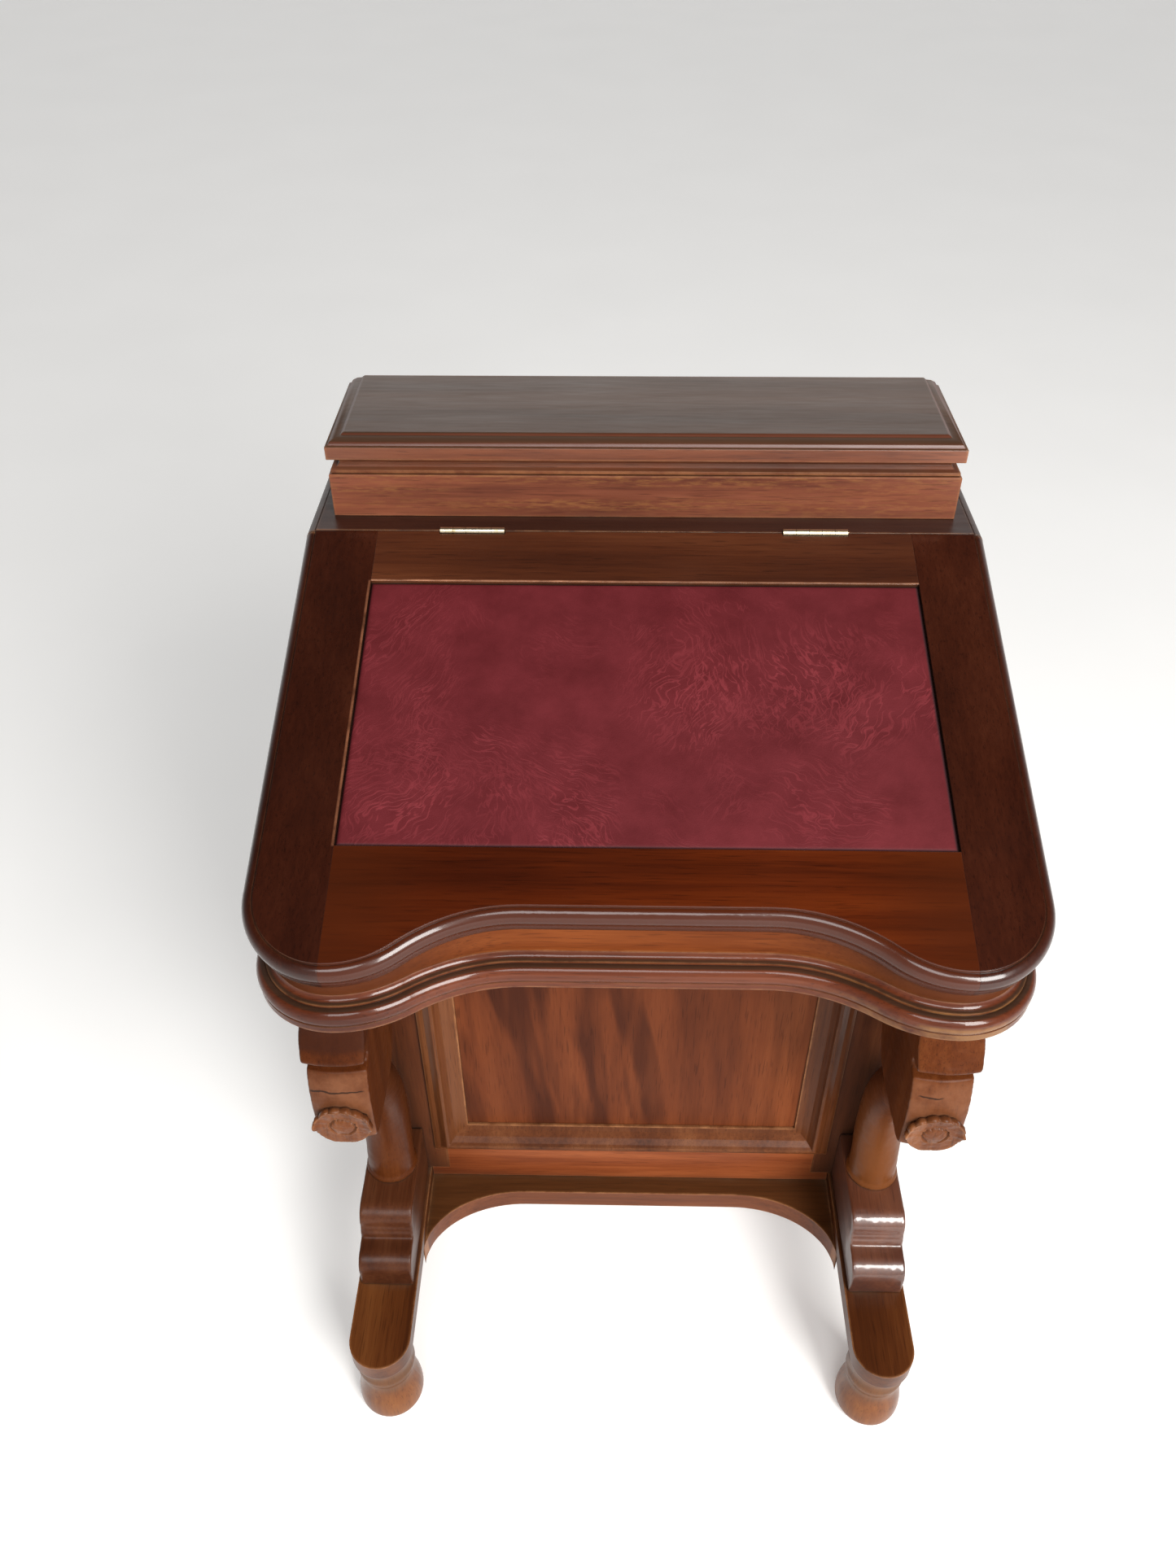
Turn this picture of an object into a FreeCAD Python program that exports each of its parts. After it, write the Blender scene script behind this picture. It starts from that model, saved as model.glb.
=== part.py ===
import FreeCAD, Part
import math
import os

# Davenport writing desk, millimetres, +X right, +Y to the back, +Z up.
# Shapes are laid out from the hinge line of the writing slope (y = 0) and are
# saved about the middle of the overall depth.

V = FreeCAD.Vector
X_AXIS = V(1, 0, 0)
Z_AXIS = V(0, 0, 1)

# ---- driving dimensions ----------------------------------------------------
MID_DEPTH = 109.0          # hinge line to the middle of the overall depth
BACK = 150.0               # rear edge of the ledge
TOP = 844.5                # overall height
SLOPE = 17.5               # fall of the writing slope, degrees
HALF_W = 268.0             # half width over the edge mouldings

LEDGE_TOP = 778.0
LEDGE_T = 22.0
LID_T = 22.0
GAP = 0.3                  # clearance between neighbouring bodies

# serpentine front, plan view at zero offset
FRONT_MID = -319.5
FRONT_LOBE = -360.5
FLAT_HALF = 82.0           # half length of the straight middle
LOBE_X = 208.0
HOLLOW_R = 124.0
CORNER_R = 60.0

CASE_BOTTOM = 606.0
MOULD_TOP = 630.0
WALL_OUT = 13.0            # offset of the case walls from the edge mouldings
WALL_IN = 28.0
CASE_BACK = 148.0
BACK_T = 13.0

LEATHER_X = 210.0          # opening for the leather, half width
LEATHER_S0 = 51.8
LEATHER_S1 = 283.5

SLEDGE_X = 234.5
SLEDGE_HALF = 28.5
SLEDGE_Z0 = 92.0
SLEDGE_Z1 = 118.0
SLEDGE_FRONT = -366.5
SLEDGE_BACK = 148.0
FOOT_FRONT = -334.0
FOOT_BACK = 119.0

PLAT_Z0 = 80.0
PLAT_Z1 = 104.0
PED_X = 243.0              # pedestal half width
PED_FRONT = -157.0
PED_FRAME_T = 18.0
PED_BACK = 135.0
SIDE_T = 15.0

OPENING_Z0 = 134.0
OPENING_H = (118.0, 108.0, 98.0, 88.0)
RAIL_H = 12.0
OPENING_Y0 = -113.0
OPENING_Y1 = 115.0

COL_Y = -196.0
COL_R = 22.3
BLOCK_TOP = 190.0
HEAD_X = 233.5             # middle of the scroll and its rosette
HEAD_HALF = 23.75

BOX_X = 248.0
BOX_FRONT = 22.7
BOX_BACK = 142.0
BOX_RIM = 814.0
BOX_BOARD = 17.0           # thickness of its top board
BOX_WALL = 9.0

HINGE_X = 135.0
HINGE_LEN = 50.8
BARREL_R = 2.8


# ---- helpers ---------------------------------------------------------------
def box(x0, x1, y0, y1, z0, z1):
    return Part.makeBox(x1 - x0, y1 - y0, z1 - z0, V(x0, y0, z0))


def save(name, shape):
    moved = shape.copy()
    moved.translate(V(0, MID_DEPTH, 0))
    moved.exportStep("parts/" + name + ".step")


def group(shapes):
    return Part.makeCompound(shapes)


def mirror_x(shape):
    return shape.mirror(V(0, 0, 0), X_AXIS)


def face_of(edges):
    return Part.Face(Part.Wire(Part.__sortEdges__(edges)))


def line(a, b):
    return Part.makeLine(a, b)


def spline(points, start=None, end=None):
    curve = Part.BSplineCurve()
    if start is None:
        curve.interpolate(points)
    else:
        curve.interpolate(Points=points, InitialTangent=start, FinalTangent=end)
    return curve.toShape()


def polygon_prism(points, along):
    wire = Part.makePolygon(list(points) + [points[0]])
    return Part.Face(wire).extrude(along)


def turned(profile, x, y, axis=Z_AXIS):
    """Solid of revolution; profile is a list of (radius, height) from the base."""
    pts = [V(r, 0, z) for r, z in profile]
    edges = [line(V(0, 0, profile[0][1]), pts[0])]
    edges.append(spline(pts))
    edges.append(line(pts[-1], V(0, 0, profile[-1][1])))
    edges.append(line(V(0, 0, profile[-1][1]), V(0, 0, profile[0][1])))
    solid = Part.Face(Part.Wire(edges)).revolve(V(0, 0, 0), Z_AXIS, 360)
    if axis != Z_AXIS:
        turn = FreeCAD.Rotation(Z_AXIS, axis)
        solid.Placement = FreeCAD.Placement(V(0, 0, 0), turn)
    solid.translate(V(x, y, 0))
    return solid


# ---- serpentine outline ----------------------------------------------------
def arc(centre, radius, a0, a1):
    pts = []
    for a in (a0, 0.5 * (a0 + a1), a1):
        t = math.radians(a)
        pts.append(V(centre[0] + radius * math.cos(t), centre[1] + radius * math.sin(t), 0))
    return Part.Arc(pts[0], pts[1], pts[2]).toShape()


def front_edges(offset, mid, lobe, y_back):
    """Edges from the right rear, round the front, to the left rear."""
    drop = mid - lobe
    run = LOBE_X - FLAT_HALF
    reach = (run * run + drop * drop) / (2 * drop)
    lobe_r = reach - HOLLOW_R
    turn = math.degrees(math.asin(run / reach))
    side = HALF_W - offset
    corner_c = (LOBE_X, lobe + CORNER_R)
    lobe_c = (LOBE_X, lobe + lobe_r)
    hollow_c = (FLAT_HALF, mid - HOLLOW_R)
    right = [
        line(V(side, y_back, 0), V(side, corner_c[1], 0)),
        arc(corner_c, CORNER_R - offset, 0, -90),
        arc(lobe_c, lobe_r - offset, -90, -90 - turn),
        arc(hollow_c, HOLLOW_R + offset, 90 - turn, 90),
    ]
    middle = line(V(FLAT_HALF, mid + offset, 0), V(-FLAT_HALF, mid + offset, 0))
    left = [mirror_x(e) for e in reversed(right)]
    return right + [middle] + left


def outline_face(offset, mid, lobe, y_back):
    side = HALF_W - offset
    edges = front_edges(offset, mid, lobe, y_back)
    edges.append(line(V(-side, y_back, 0), V(side, y_back, 0)))
    return face_of(edges)


def outline_solid(offset, mid, lobe, y_back, z0, z1):
    solid = outline_face(offset, mid, lobe, y_back).extrude(V(0, 0, z1 - z0))
    solid.translate(V(0, 0, z0))
    return solid


def swept_moulding(profile_edges, mid, lobe, y_back):
    """Sweep a profile, drawn as (offset, height), round the serpentine outline."""
    path = Part.Wire(Part.__sortEdges__(front_edges(0, mid, lobe, y_back)))
    profile = Part.Wire(profile_edges)
    profile.translate(V(0, y_back, 0))
    pipe = Part.BRepOffsetAPI.MakePipeShell(path)
    pipe.setFrenetMode(True)
    pipe.add(profile)
    pipe.setTransitionMode(1)
    pipe.build()
    pipe.makeSolid()
    return pipe.shape()


def at_edge(offset, height):
    """Profile point at the right rear end of the outline."""
    return V(HALF_W - offset, 0, height)


def thumb_profile(inner, under):
    """Quirk, thumb roll and fillet; the top is at zero height."""
    top = at_edge(inner, 0)
    quirk = at_edge(9.0, 0)
    sink = at_edge(8.2, -1.6)
    roll = [at_edge(7.4, -1.0), at_edge(3.2, -2.6), at_edge(0.4, -7.0),
            at_edge(0.3, -12.0), at_edge(2.2, -16.6)]
    fillet_in = at_edge(1.6, -17.2)
    fillet_low = at_edge(1.6, under)
    base = at_edge(inner, under)
    edges = [line(top, quirk), line(quirk, sink), line(sink, roll[0])]
    edges.append(spline(roll))
    edges.append(line(roll[-1], fillet_in))
    edges.append(line(fillet_in, fillet_low))
    edges.append(line(fillet_low, base))
    edges.append(line(base, top))
    return edges


def base_profile(inner, z0, z1):
    """Cove, fillet, roll and foot fillet of the moulding under the case."""
    top_in = at_edge(inner, z1)
    cove = [at_edge(WALL_OUT, z1), at_edge(11.6, z1 - 3.2), at_edge(7.6, z1 - 4.8)]
    step = at_edge(7.6, z1 - 6.6)
    roll = [at_edge(6.4, z1 - 6.2), at_edge(2.6, z1 - 7.6), at_edge(0.4, z1 - 11.6),
            at_edge(0.3, z1 - 15.0), at_edge(1.6, z1 - 18.4)]
    foot = at_edge(0.9, z1 - 18.8)
    foot_low = at_edge(0.9, z0)
    base = at_edge(inner, z0)
    edges = [line(top_in, cove[0]), spline(cove), line(cove[-1], step)]
    edges.append(line(step, roll[0]))
    edges.append(spline(roll))
    edges.append(line(roll[-1], foot))
    edges.append(line(foot, foot_low))
    edges.append(line(foot_low, base))
    edges.append(line(base, top_in))
    return edges


def slope_down(shape):
    """Turn a shape drawn flat about the hinge line onto the writing slope."""
    tilted = shape.copy()
    tilted.rotate(V(0, 0, 0), X_AXIS, SLOPE)
    tilted.translate(V(0, 0, LEDGE_TOP))
    return tilted


# ---- base: feet, sledges, platform, scroll blocks ---------------------------
def bun_feet():
    profile = [(20.0, 0), (25.0, 1.2), (28.6, 4.6), (30.5, 10.0), (30.8, 18.0),
               (29.6, 29.0), (27.0, 39.0), (24.8, 47.0), (24.2, 54.0), (25.2, 60.0), (27.2, 66.0),
               (27.4, 71.0), (26.0, 76.0), (26.2, 82.0), (27.8, SLEDGE_Z0)]
    feet = []
    for x in (-SLEDGE_X, SLEDGE_X):
        for y in (FOOT_FRONT, FOOT_BACK):
            feet.append(turned(profile, x, y))
    return group(feet)


def sledge():
    r = SLEDGE_HALF
    y0 = SLEDGE_FRONT + r
    y1 = SLEDGE_BACK - r
    front = Part.Arc(V(-r, y0, 0), V(0, SLEDGE_FRONT, 0), V(r, y0, 0)).toShape()
    rear = Part.Arc(V(r, y1, 0), V(0, SLEDGE_BACK, 0), V(-r, y1, 0)).toShape()
    edges = [front, line(V(r, y0, 0), V(r, y1, 0)), rear, line(V(-r, y1, 0), V(-r, y0, 0))]
    body = Part.Face(Part.Wire(edges)).extrude(V(0, 0, SLEDGE_Z1 - SLEDGE_Z0))
    low = [e for e in body.Edges if e.BoundBox.ZMax < 0.01]
    body = body.makeFillet(6.0, low)
    body.translate(V(SLEDGE_X, 0, SLEDGE_Z0))
    return body


def platform():
    x1 = SLEDGE_X - SLEDGE_HALF
    flat = 107.0
    y_mid = -176.0
    y_side = y_mid - 68.0
    sweep = []
    steps = 10
    for i in range(steps + 1):
        t = math.radians(90.0 * i / steps)
        sweep.append(V(flat + (x1 - flat) * math.sin(t), y_side + 68.0 * math.cos(t), 0))
    right = spline(sweep, V(1, 0, 0), V(0, -1, 0))
    left = mirror_x(right)
    edges = [right, left, line(V(-flat, y_mid, 0), V(flat, y_mid, 0)),
             line(V(x1, y_side, 0), V(x1, PED_BACK, 0)),
             line(V(-x1, y_side, 0), V(-x1, PED_BACK, 0)),
             line(V(-x1, PED_BACK, 0), V(x1, PED_BACK, 0))]
    board = face_of(edges).extrude(V(0, 0, PLAT_Z1 - PLAT_Z0))
    board.translate(V(0, 0, PLAT_Z0))
    return board


def scroll_block():
    half = 25.3
    low = [V(0, -286, 138), V(0, -284, 148), V(0, -278, 154.4), V(0, -269, 156.8)]
    high = [V(0, -255, 174), V(0, -253.4, 181), V(0, -248, 187), V(0, -239, BLOCK_TOP)]
    corners = [low[-1], V(0, -258.5, 157), V(0, -258.5, 163.2), V(0, -256.6, 163.2),
               V(0, -256.6, 168.6), V(0, -255, 169.6), high[0]]
    edges = [line(V(0, -286, SLEDGE_Z1), low[0]), spline(low)]
    edges += [line(a, b) for a, b in zip(corners[:-1], corners[1:])]
    edges += [spline(high),
              line(high[-1], V(0, PED_FRONT, BLOCK_TOP)),
              line(V(0, PED_FRONT, BLOCK_TOP), V(0, PED_FRONT, SLEDGE_Z1)),
              line(V(0, PED_FRONT, SLEDGE_Z1), V(0, -286, SLEDGE_Z1))]
    block = Part.Face(Part.Wire(edges)).extrude(V(2 * half, 0, 0))
    block.translate(V(SLEDGE_X - half, 0, 0))
    return block


# ---- scrolled supports -------------------------------------------------------
def support():
    path_pts = [V(0, COL_Y, BLOCK_TOP + 4), V(0, -190.5, 230), V(0, -188.5, 268),
                V(0, -198, 318), V(0, -225, 368), V(0, -262, 412)]
    path = Part.Wire([spline(path_pts, V(0, 0, 1), V(0, -0.6, 0.6))])
    ring = Part.Wire([Part.makeCircle(COL_R, path_pts[0], Z_AXIS)])
    leg = path.makePipeShell([ring], True, False)
    if leg.Volume < 0:
        leg.reverse()
    collar = Part.makeCylinder(COL_R + 2.4, 5.0, V(0, COL_Y, BLOCK_TOP))
    rim = [e for e in collar.Edges if e.BoundBox.ZMin > BLOCK_TOP + 4.9]
    collar = collar.makeFillet(2.0, rim)

    cap = [V(0, -279, CASE_BOTTOM), V(0, -280, 573), V(0, -285, 542), V(0, -295, 514),
           V(0, -303.5, 498)]
    lip = [cap[-1], V(0, -305.4, 494), V(0, -303, 490.6)]
    cove = [V(0, -295, 490.2), V(0, -289, 487), V(0, -288, 481.5), V(0, -292, 477.5)]
    face_curve = [V(0, -298.5, 476), V(0, -302.5, 464), V(0, -305.5, 446), V(0, -306, 430)]
    curl = [V(0, -306, 404), V(0, -303, 396.5), V(0, -294, 392.5), V(0, -272, 391)]
    back = [V(0, -222, 391), V(0, -206, 407), V(0, -194, 440), V(0, -190, 490)]
    edges = [spline(cap), spline(lip),
             line(lip[-1], cove[0]), spline(cove),
             line(cove[-1], face_curve[0]), spline(face_curve),
             line(face_curve[-1], curl[0]), spline(curl),
             line(curl[-1], back[0]), spline(back),
             line(back[-1], V(0, -187, CASE_BOTTOM)),
             line(V(0, -187, CASE_BOTTOM), cap[0])]
    head = Part.Face(Part.Wire(edges)).extrude(V(2 * HEAD_HALF, 0, 0))
    head.translate(V(HEAD_X - HEAD_HALF, 0, 0))
    turned_leg = leg.fuse(collar)
    turned_leg.translate(V(SLEDGE_X, 0, 0))
    return turned_leg.fuse(head).removeSplitter()


def rosette():
    lobes = 14
    outer = []
    for i in range(lobes * 2):
        t = math.pi * i / lobes
        r = 24.0 if i % 2 == 0 else 22.0
        outer.append(V(r * math.cos(t), 0, r * math.sin(t)))
    disc = polygon_prism(outer, V(0, -3.6, 0))
    ring = Part.makeCylinder(11.4, 1.6, V(0, -3.6, 0), V(0, -1, 0))
    dish = Part.makeTorus(15.4, 2.6, V(0, -5.0, 0), V(0, 1, 0))
    ball = Part.makeSphere(9.0, V(0, -1.2, 0))
    ball = ball.common(box(-10, 10, -12, -2.0, -10, 10))
    solid = disc.cut(dish).fuse([ring, ball]).removeSplitter()
    solid.translate(V(HEAD_X, -306.2, 420.5))
    return solid


# ---- pedestal ----------------------------------------------------------------
FRAME_IN = 188.0
FRAME_Z0 = 168.0
FRAME_Z1 = 576.0


def front_stile():
    return box(FRAME_IN, PED_X, PED_FRONT, PED_FRONT + PED_FRAME_T, SLEDGE_Z1, CASE_BOTTOM)


def front_rail_bottom():
    y1 = PED_FRONT + PED_FRAME_T
    x1 = SLEDGE_X - SLEDGE_HALF
    low = box(-x1, x1, PED_FRONT, y1, PLAT_Z1, SLEDGE_Z1)
    high = box(-FRAME_IN, FRAME_IN, PED_FRONT, y1, SLEDGE_Z1, FRAME_Z0)
    return low.fuse(high).removeSplitter()


def front_rail_top():
    y1 = PED_FRONT + PED_FRAME_T
    return box(-FRAME_IN, FRAME_IN, PED_FRONT, y1, FRAME_Z1, CASE_BOTTOM)


def knee_panel():
    return box(-FRAME_IN, FRAME_IN, PED_FRONT + 6, PED_FRONT + 14, FRAME_Z0, FRAME_Z1)


def knee_moulding():
    """Bolection moulding lapping the frame; profile points are (inward, forward)."""
    profile = [(0, 0), (0, 2.6), (3.0, 4.0), (7.0, 4.6), (11.0, 8.2), (14.0, 10.4),
               (16.6, 10.0), (18.2, 7.0), (22.0, 1.8), (28.0, -2.2), (35.0, -3.6),
               (35.0, -6.0), (12.0, -6.0), (12.0, 0)]
    x1 = 199.0
    z0 = 156.0
    z1 = 588.0
    corners = [(-x1, z0, 1, 1), (x1, z0, -1, 1), (x1, z1, -1, -1), (-x1, z1, 1, -1)]
    rings = []
    for inward, forward in profile:
        pts = []
        for cx, cz, sx, sz in corners:
            pts.append(V(cx + sx * inward, PED_FRONT - forward, cz + sz * inward))
        rings.append(pts)
    faces = []
    count = len(profile)
    for i in range(count):
        a = rings[i]
        b = rings[(i + 1) % count]
        for k in range(4):
            m = (k + 1) % 4
            wire = Part.makePolygon([a[k], a[m], b[m], b[k], a[k]])
            faces.append(Part.Face(wire))
    return Part.Solid(Part.makeShell(faces))


def side_frame():
    """Frame with four openings, drawn for the right side."""
    frame = box(PED_X - SIDE_T, PED_X, PED_FRONT + PED_FRAME_T, PED_BACK, SLEDGE_Z1, CASE_BOTTOM)
    z = OPENING_Z0
    for height in OPENING_H:
        frame = frame.cut(box(PED_X - SIDE_T - 1, PED_X + 1, OPENING_Y0, OPENING_Y1, z, z + height))
        z += height + RAIL_H
    return frame


def opening_floor(index):
    return OPENING_Z0 + sum(OPENING_H[:index]) + RAIL_H * index


def dust_boards():
    boards = []
    for i in range(4):
        z = opening_floor(i)
        inner = PED_X - SIDE_T
        boards.append(box(-inner, inner, PED_FRONT + PED_FRAME_T, PED_BACK, z - 8, z))
    return group(boards)


def drawer_face(index):
    """Front board with a rounded edge, drawn for the right side."""
    gap = 0.8
    z = opening_floor(index)
    height = OPENING_H[index]
    board = box(PED_X - 14, PED_X, OPENING_Y0 + gap, OPENING_Y1 - gap, z + 0.4, z + height - gap)
    outer = [e for e in board.Edges if e.BoundBox.XMin > PED_X - 0.01]
    return board.makeFillet(2.5, outer)


def knob(y, z):
    profile = [(6.0, 0), (5.6, 3.0), (6.4, 6.0), (11.5, 9.0), (14.6, 13.5),
               (13.6, 18.0), (9.0, 20.6), (2.0, 21.4)]
    solid = turned(profile, 0, 0, X_AXIS)
    solid.translate(V(PED_X, y, z))
    return solid


def knob_pair(index):
    z = opening_floor(index) + OPENING_H[index] / 2
    return [knob(-59.0, z), knob(61.0, z)]


def drawer_box(index):
    z0 = opening_floor(index) + 0.1
    z1 = z0 + OPENING_H[index] - 12
    x0 = -214.0
    x1 = PED_X - 14
    y0 = OPENING_Y0 + 2.0
    y1 = OPENING_Y1 - 2.0
    shell = box(x0, x1, y0, y1, z0, z1)
    hollow = box(x0 + 8, x1 + 1, y0 + 8, y1 - 8, z0 + 6, z1 + 1)
    return shell.cut(hollow)


def back_panel():
    y0 = PED_BACK
    y1 = PED_BACK + 12
    low = box(-PED_X, PED_X, y0, y1, SLEDGE_Z1, CASE_BOTTOM)
    channel = box(-185, 185, y1 - 4, y1 + 1, 185, 545)
    field = box(-172, 172, y1 - 4, y1 + 1, 198, 532)
    return low.cut(channel.cut(field))


# ---- writing case ---------------------------------------------------------------
def under_lid(shape, clearance):
    """Trim a shape to the underside of the closed lid and of the ledge."""
    wedge = box(-400, 400, -600, 150, -LID_T - clearance, 400)
    wedge = slope_down(wedge)
    above = box(-400, 400, -1, 400, LEDGE_TOP - LEDGE_T, 1200)
    return shape.cut(wedge).cut(above)


def case_wall():
    outer = outline_solid(WALL_OUT, FRONT_MID, FRONT_LOBE, CASE_BACK, MOULD_TOP, 800)
    inner = outline_solid(WALL_IN, FRONT_MID, FRONT_LOBE, CASE_BACK + 5, MOULD_TOP - 5, 805)
    return under_lid(outer.cut(inner), GAP + 0.1)


def case_side():
    y_joint = FRONT_LOBE + CORNER_R
    return case_wall().common(box(HALF_W - WALL_IN - 1, 400, y_joint, 400, 0, 1000))


def case_front():
    side = case_side()
    return case_wall().cut(side).cut(mirror_x(side))


def base_moulding():
    return swept_moulding(base_profile(WALL_IN, CASE_BOTTOM, MOULD_TOP),
                          FRONT_MID, FRONT_LOBE, CASE_BACK)


def case_floor():
    return outline_solid(WALL_IN, FRONT_MID, FRONT_LOBE, CASE_BACK - BACK_T,
                         CASE_BOTTOM, CASE_BOTTOM + 10)


def case_back():
    x1 = HALF_W - WALL_IN
    return box(-x1, x1, CASE_BACK - BACK_T, CASE_BACK, CASE_BOTTOM, LEDGE_TOP - LEDGE_T)


def barrel_room(y, z, radius, x, length):
    return Part.makeCylinder(radius, length, V(x - length / 2, y, z), X_AXIS)


def ledge():
    right = thumb_profile(60.0, -LEDGE_T)
    side = Part.Face(Part.Wire(right))
    strip = side.extrude(V(0, BACK - GAP, 0))
    core = box(-HALF_W + 60, HALF_W - 60, 0, BACK - GAP, -LEDGE_T, 0)
    board = core.fuse([strip, mirror_x(strip)]).removeSplitter()
    board.translate(V(0, GAP, LEDGE_TOP))
    for x in (-HINGE_X, HINGE_X):
        board = board.cut(barrel_room(0, LEDGE_TOP, 3.2, x, HINGE_LEN + 0.8))
        board = board.cut(box(x - HINGE_LEN / 2, x + HINGE_LEN / 2, 0, 1.6, LEDGE_TOP - 16, LEDGE_TOP))
    return board


# ---- fitted interior ---------------------------------------------------------------
WELL_X = HALF_W - WALL_IN
SHELF_Z = 684.0
WELL_FLOOR = CASE_BOTTOM + 10


def well_fittings():
    """Shelf, the upright between the small drawers, and the pigeonhole uprights."""
    pieces = [box(-WELL_X, WELL_X, 5, CASE_BACK - BACK_T, SHELF_Z, SHELF_Z + 6)]
    pieces.append(box(-3, 3, 5, CASE_BACK - BACK_T, WELL_FLOOR, SHELF_Z))
    for x in (-82.0, 82.0):
        pieces.append(box(x - 3, x + 3, 8, CASE_BACK - BACK_T, SHELF_Z + 6, LEDGE_TOP - LEDGE_T))
    return group(pieces)


def inner_drawer():
    x0 = 3.8
    x1 = WELL_X - 0.8
    y0 = 5.0
    y1 = 126.0
    z0 = WELL_FLOOR + 0.1
    z1 = SHELF_Z - 1.0
    shell = box(x0, x1, y0, y1, z0, z1)
    hollow = box(x0 + 6, x1 - 6, y0 + 9, y1 - 6, z0 + 5, z1 + 1)
    return shell.cut(hollow)


def inner_knob():
    profile = [(3.0, 0), (2.8, 2.5), (4.4, 5.0), (7.2, 8.0), (6.4, 11.0), (1.2, 12.4)]
    solid = turned(profile, 0, 0, V(0, -1, 0))
    solid.translate(V(WELL_X / 2 + 1.5, 5.0, 650.0))
    return solid


# ---- writing lid --------------------------------------------------------------------
LID_MID = FRONT_MID / math.cos(math.radians(SLOPE))
LID_LOBE = FRONT_LOBE / math.cos(math.radians(SLOPE))


def lid_blank():
    rim = swept_moulding(thumb_profile(40.0, -LID_T), LID_MID, LID_LOBE, 12.0)
    core = outline_solid(40.0, LID_MID, LID_LOBE, 12.0, -LID_T, 0)
    return core.fuse(rim).removeSplitter()


def finish_lid(shape):
    """Tilt a lid piece and trim it plumb at the hinge line."""
    tilted = slope_down(shape)
    tilted = tilted.cut(box(-400, 400, -0.5, 60, 600, 900))
    for x in (-HINGE_X, HINGE_X):
        tilted = tilted.cut(barrel_room(0, LEDGE_TOP, 3.2, x, HINGE_LEN + 0.8))
        tilted = tilted.cut(box(x - HINGE_LEN / 2, x + HINGE_LEN / 2, -1.8, 0,
                                LEDGE_TOP - 16, LEDGE_TOP))
    return tilted


def lid_pieces():
    blank = lid_blank()
    low, high = -60.0, 60.0
    opening = box(-LEATHER_X, LEATHER_X, -LEATHER_S1, -LEATHER_S0, low, high)
    frame = blank.cut(opening)
    y_top = -LEATHER_S0
    y_low = -LEATHER_S1
    top = frame.common(box(-LEATHER_X, LEATHER_X, y_top, 60, low, high))
    front_zone = box(-LEATHER_X, LEATHER_X, -500, y_low, low, high)
    front = frame.common(front_zone)
    sides = frame.cut(front_zone).cut(box(-LEATHER_X, LEATHER_X, y_top, 60, low, high))
    left = sides.common(box(-400, 0, -500, 60, low, high))
    right = sides.common(box(0, 400, -500, 60, low, high))
    return {
        "lid_stile_left": finish_lid(left),
        "lid_stile_right": finish_lid(right),
        "lid_rail_top": finish_lid(top),
        "lid_rail_front": finish_lid(front),
    }


def lid_panel():
    return slope_down(box(-LEATHER_X, LEATHER_X, -LEATHER_S1, -LEATHER_S0, -16.0, -4.2))


def leather():
    inset = 3.6
    return slope_down(box(-LEATHER_X + inset, LEATHER_X - inset, -LEATHER_S1 + inset,
                          -LEATHER_S0 - inset, -4.2, -2.8))


# ---- butt hinges ------------------------------------------------------------------------
def knuckles(y, z, radius, x, length, which, count):
    pitch = length / count
    tubes = []
    for i in which:
        x0 = x - length / 2 + i * pitch + 0.15
        tubes.append(Part.makeCylinder(radius, pitch - 0.3, V(x0, y, z), X_AXIS))
    return tubes


def slope_hinge_fixed(x):
    leaf = box(x - HINGE_LEN / 2 + 0.2, x + HINGE_LEN / 2 - 0.2, 0.4, 1.5,
               LEDGE_TOP - 15.5, LEDGE_TOP)
    for tube in knuckles(0, LEDGE_TOP, 3.1, x, HINGE_LEN, (1, 3), 5):
        leaf = leaf.cut(tube.copy())
    pin = Part.makeCylinder(1.3, HINGE_LEN - 0.3, V(x - HINGE_LEN / 2 + 0.15, 0, LEDGE_TOP), X_AXIS)
    tubes = knuckles(0, LEDGE_TOP, BARREL_R, x, HINGE_LEN, (0, 2, 4), 5)
    return leaf.fuse(tubes + [pin]).removeSplitter()


def slope_hinge_moving(x):
    leaf = box(x - HINGE_LEN / 2 + 0.2, x + HINGE_LEN / 2 - 0.2, -1.7, -0.6,
               LEDGE_TOP - 15.5, LEDGE_TOP)
    pitch = HINGE_LEN / 5
    for i in (0, 2, 4):
        x0 = x - HINGE_LEN / 2 + i * pitch - 0.15
        leaf = leaf.cut(Part.makeCylinder(3.1, pitch + 0.3, V(x0, 0, LEDGE_TOP), X_AXIS))
    tubes = knuckles(0, LEDGE_TOP, BARREL_R, x, HINGE_LEN, (1, 3), 5)
    solid = leaf.fuse(tubes)
    bore = Part.makeCylinder(1.36, HINGE_LEN + 2, V(x - HINGE_LEN / 2 - 1, 0, LEDGE_TOP), X_AXIS)
    return solid.cut(bore)


# ---- stationery box ---------------------------------------------------------------------
BOX_HINGE_X = 150.0
BOX_HINGE_LEN = 38.0
BOX_HINGE_Y = BOX_BACK + 2.6
BOX_HINGE_Z = BOX_RIM + 0.3
RIM_GAP = 0.6


def leaf_room(z0, z1):
    room = []
    for x in (-BOX_HINGE_X, BOX_HINGE_X):
        half = BOX_HINGE_LEN / 2
        room.append(box(x - half, x + half, BOX_BACK - 7, BOX_BACK + 1, z0, z1))
    return group(room)


def box_front():
    return box(-BOX_X, BOX_X, BOX_FRONT, BOX_FRONT + BOX_WALL, LEDGE_TOP, BOX_RIM)


def box_back():
    wall = box(-BOX_X, BOX_X, BOX_BACK - BOX_WALL, BOX_BACK, LEDGE_TOP, BOX_RIM)
    return wall.cut(leaf_room(BOX_RIM - 1.2, BOX_RIM + 1))


def box_sides():
    right = box(BOX_X - BOX_WALL, BOX_X, BOX_FRONT + BOX_WALL, BOX_BACK - BOX_WALL,
                LEDGE_TOP, BOX_RIM)
    return group([right, mirror_x(right)])


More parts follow.
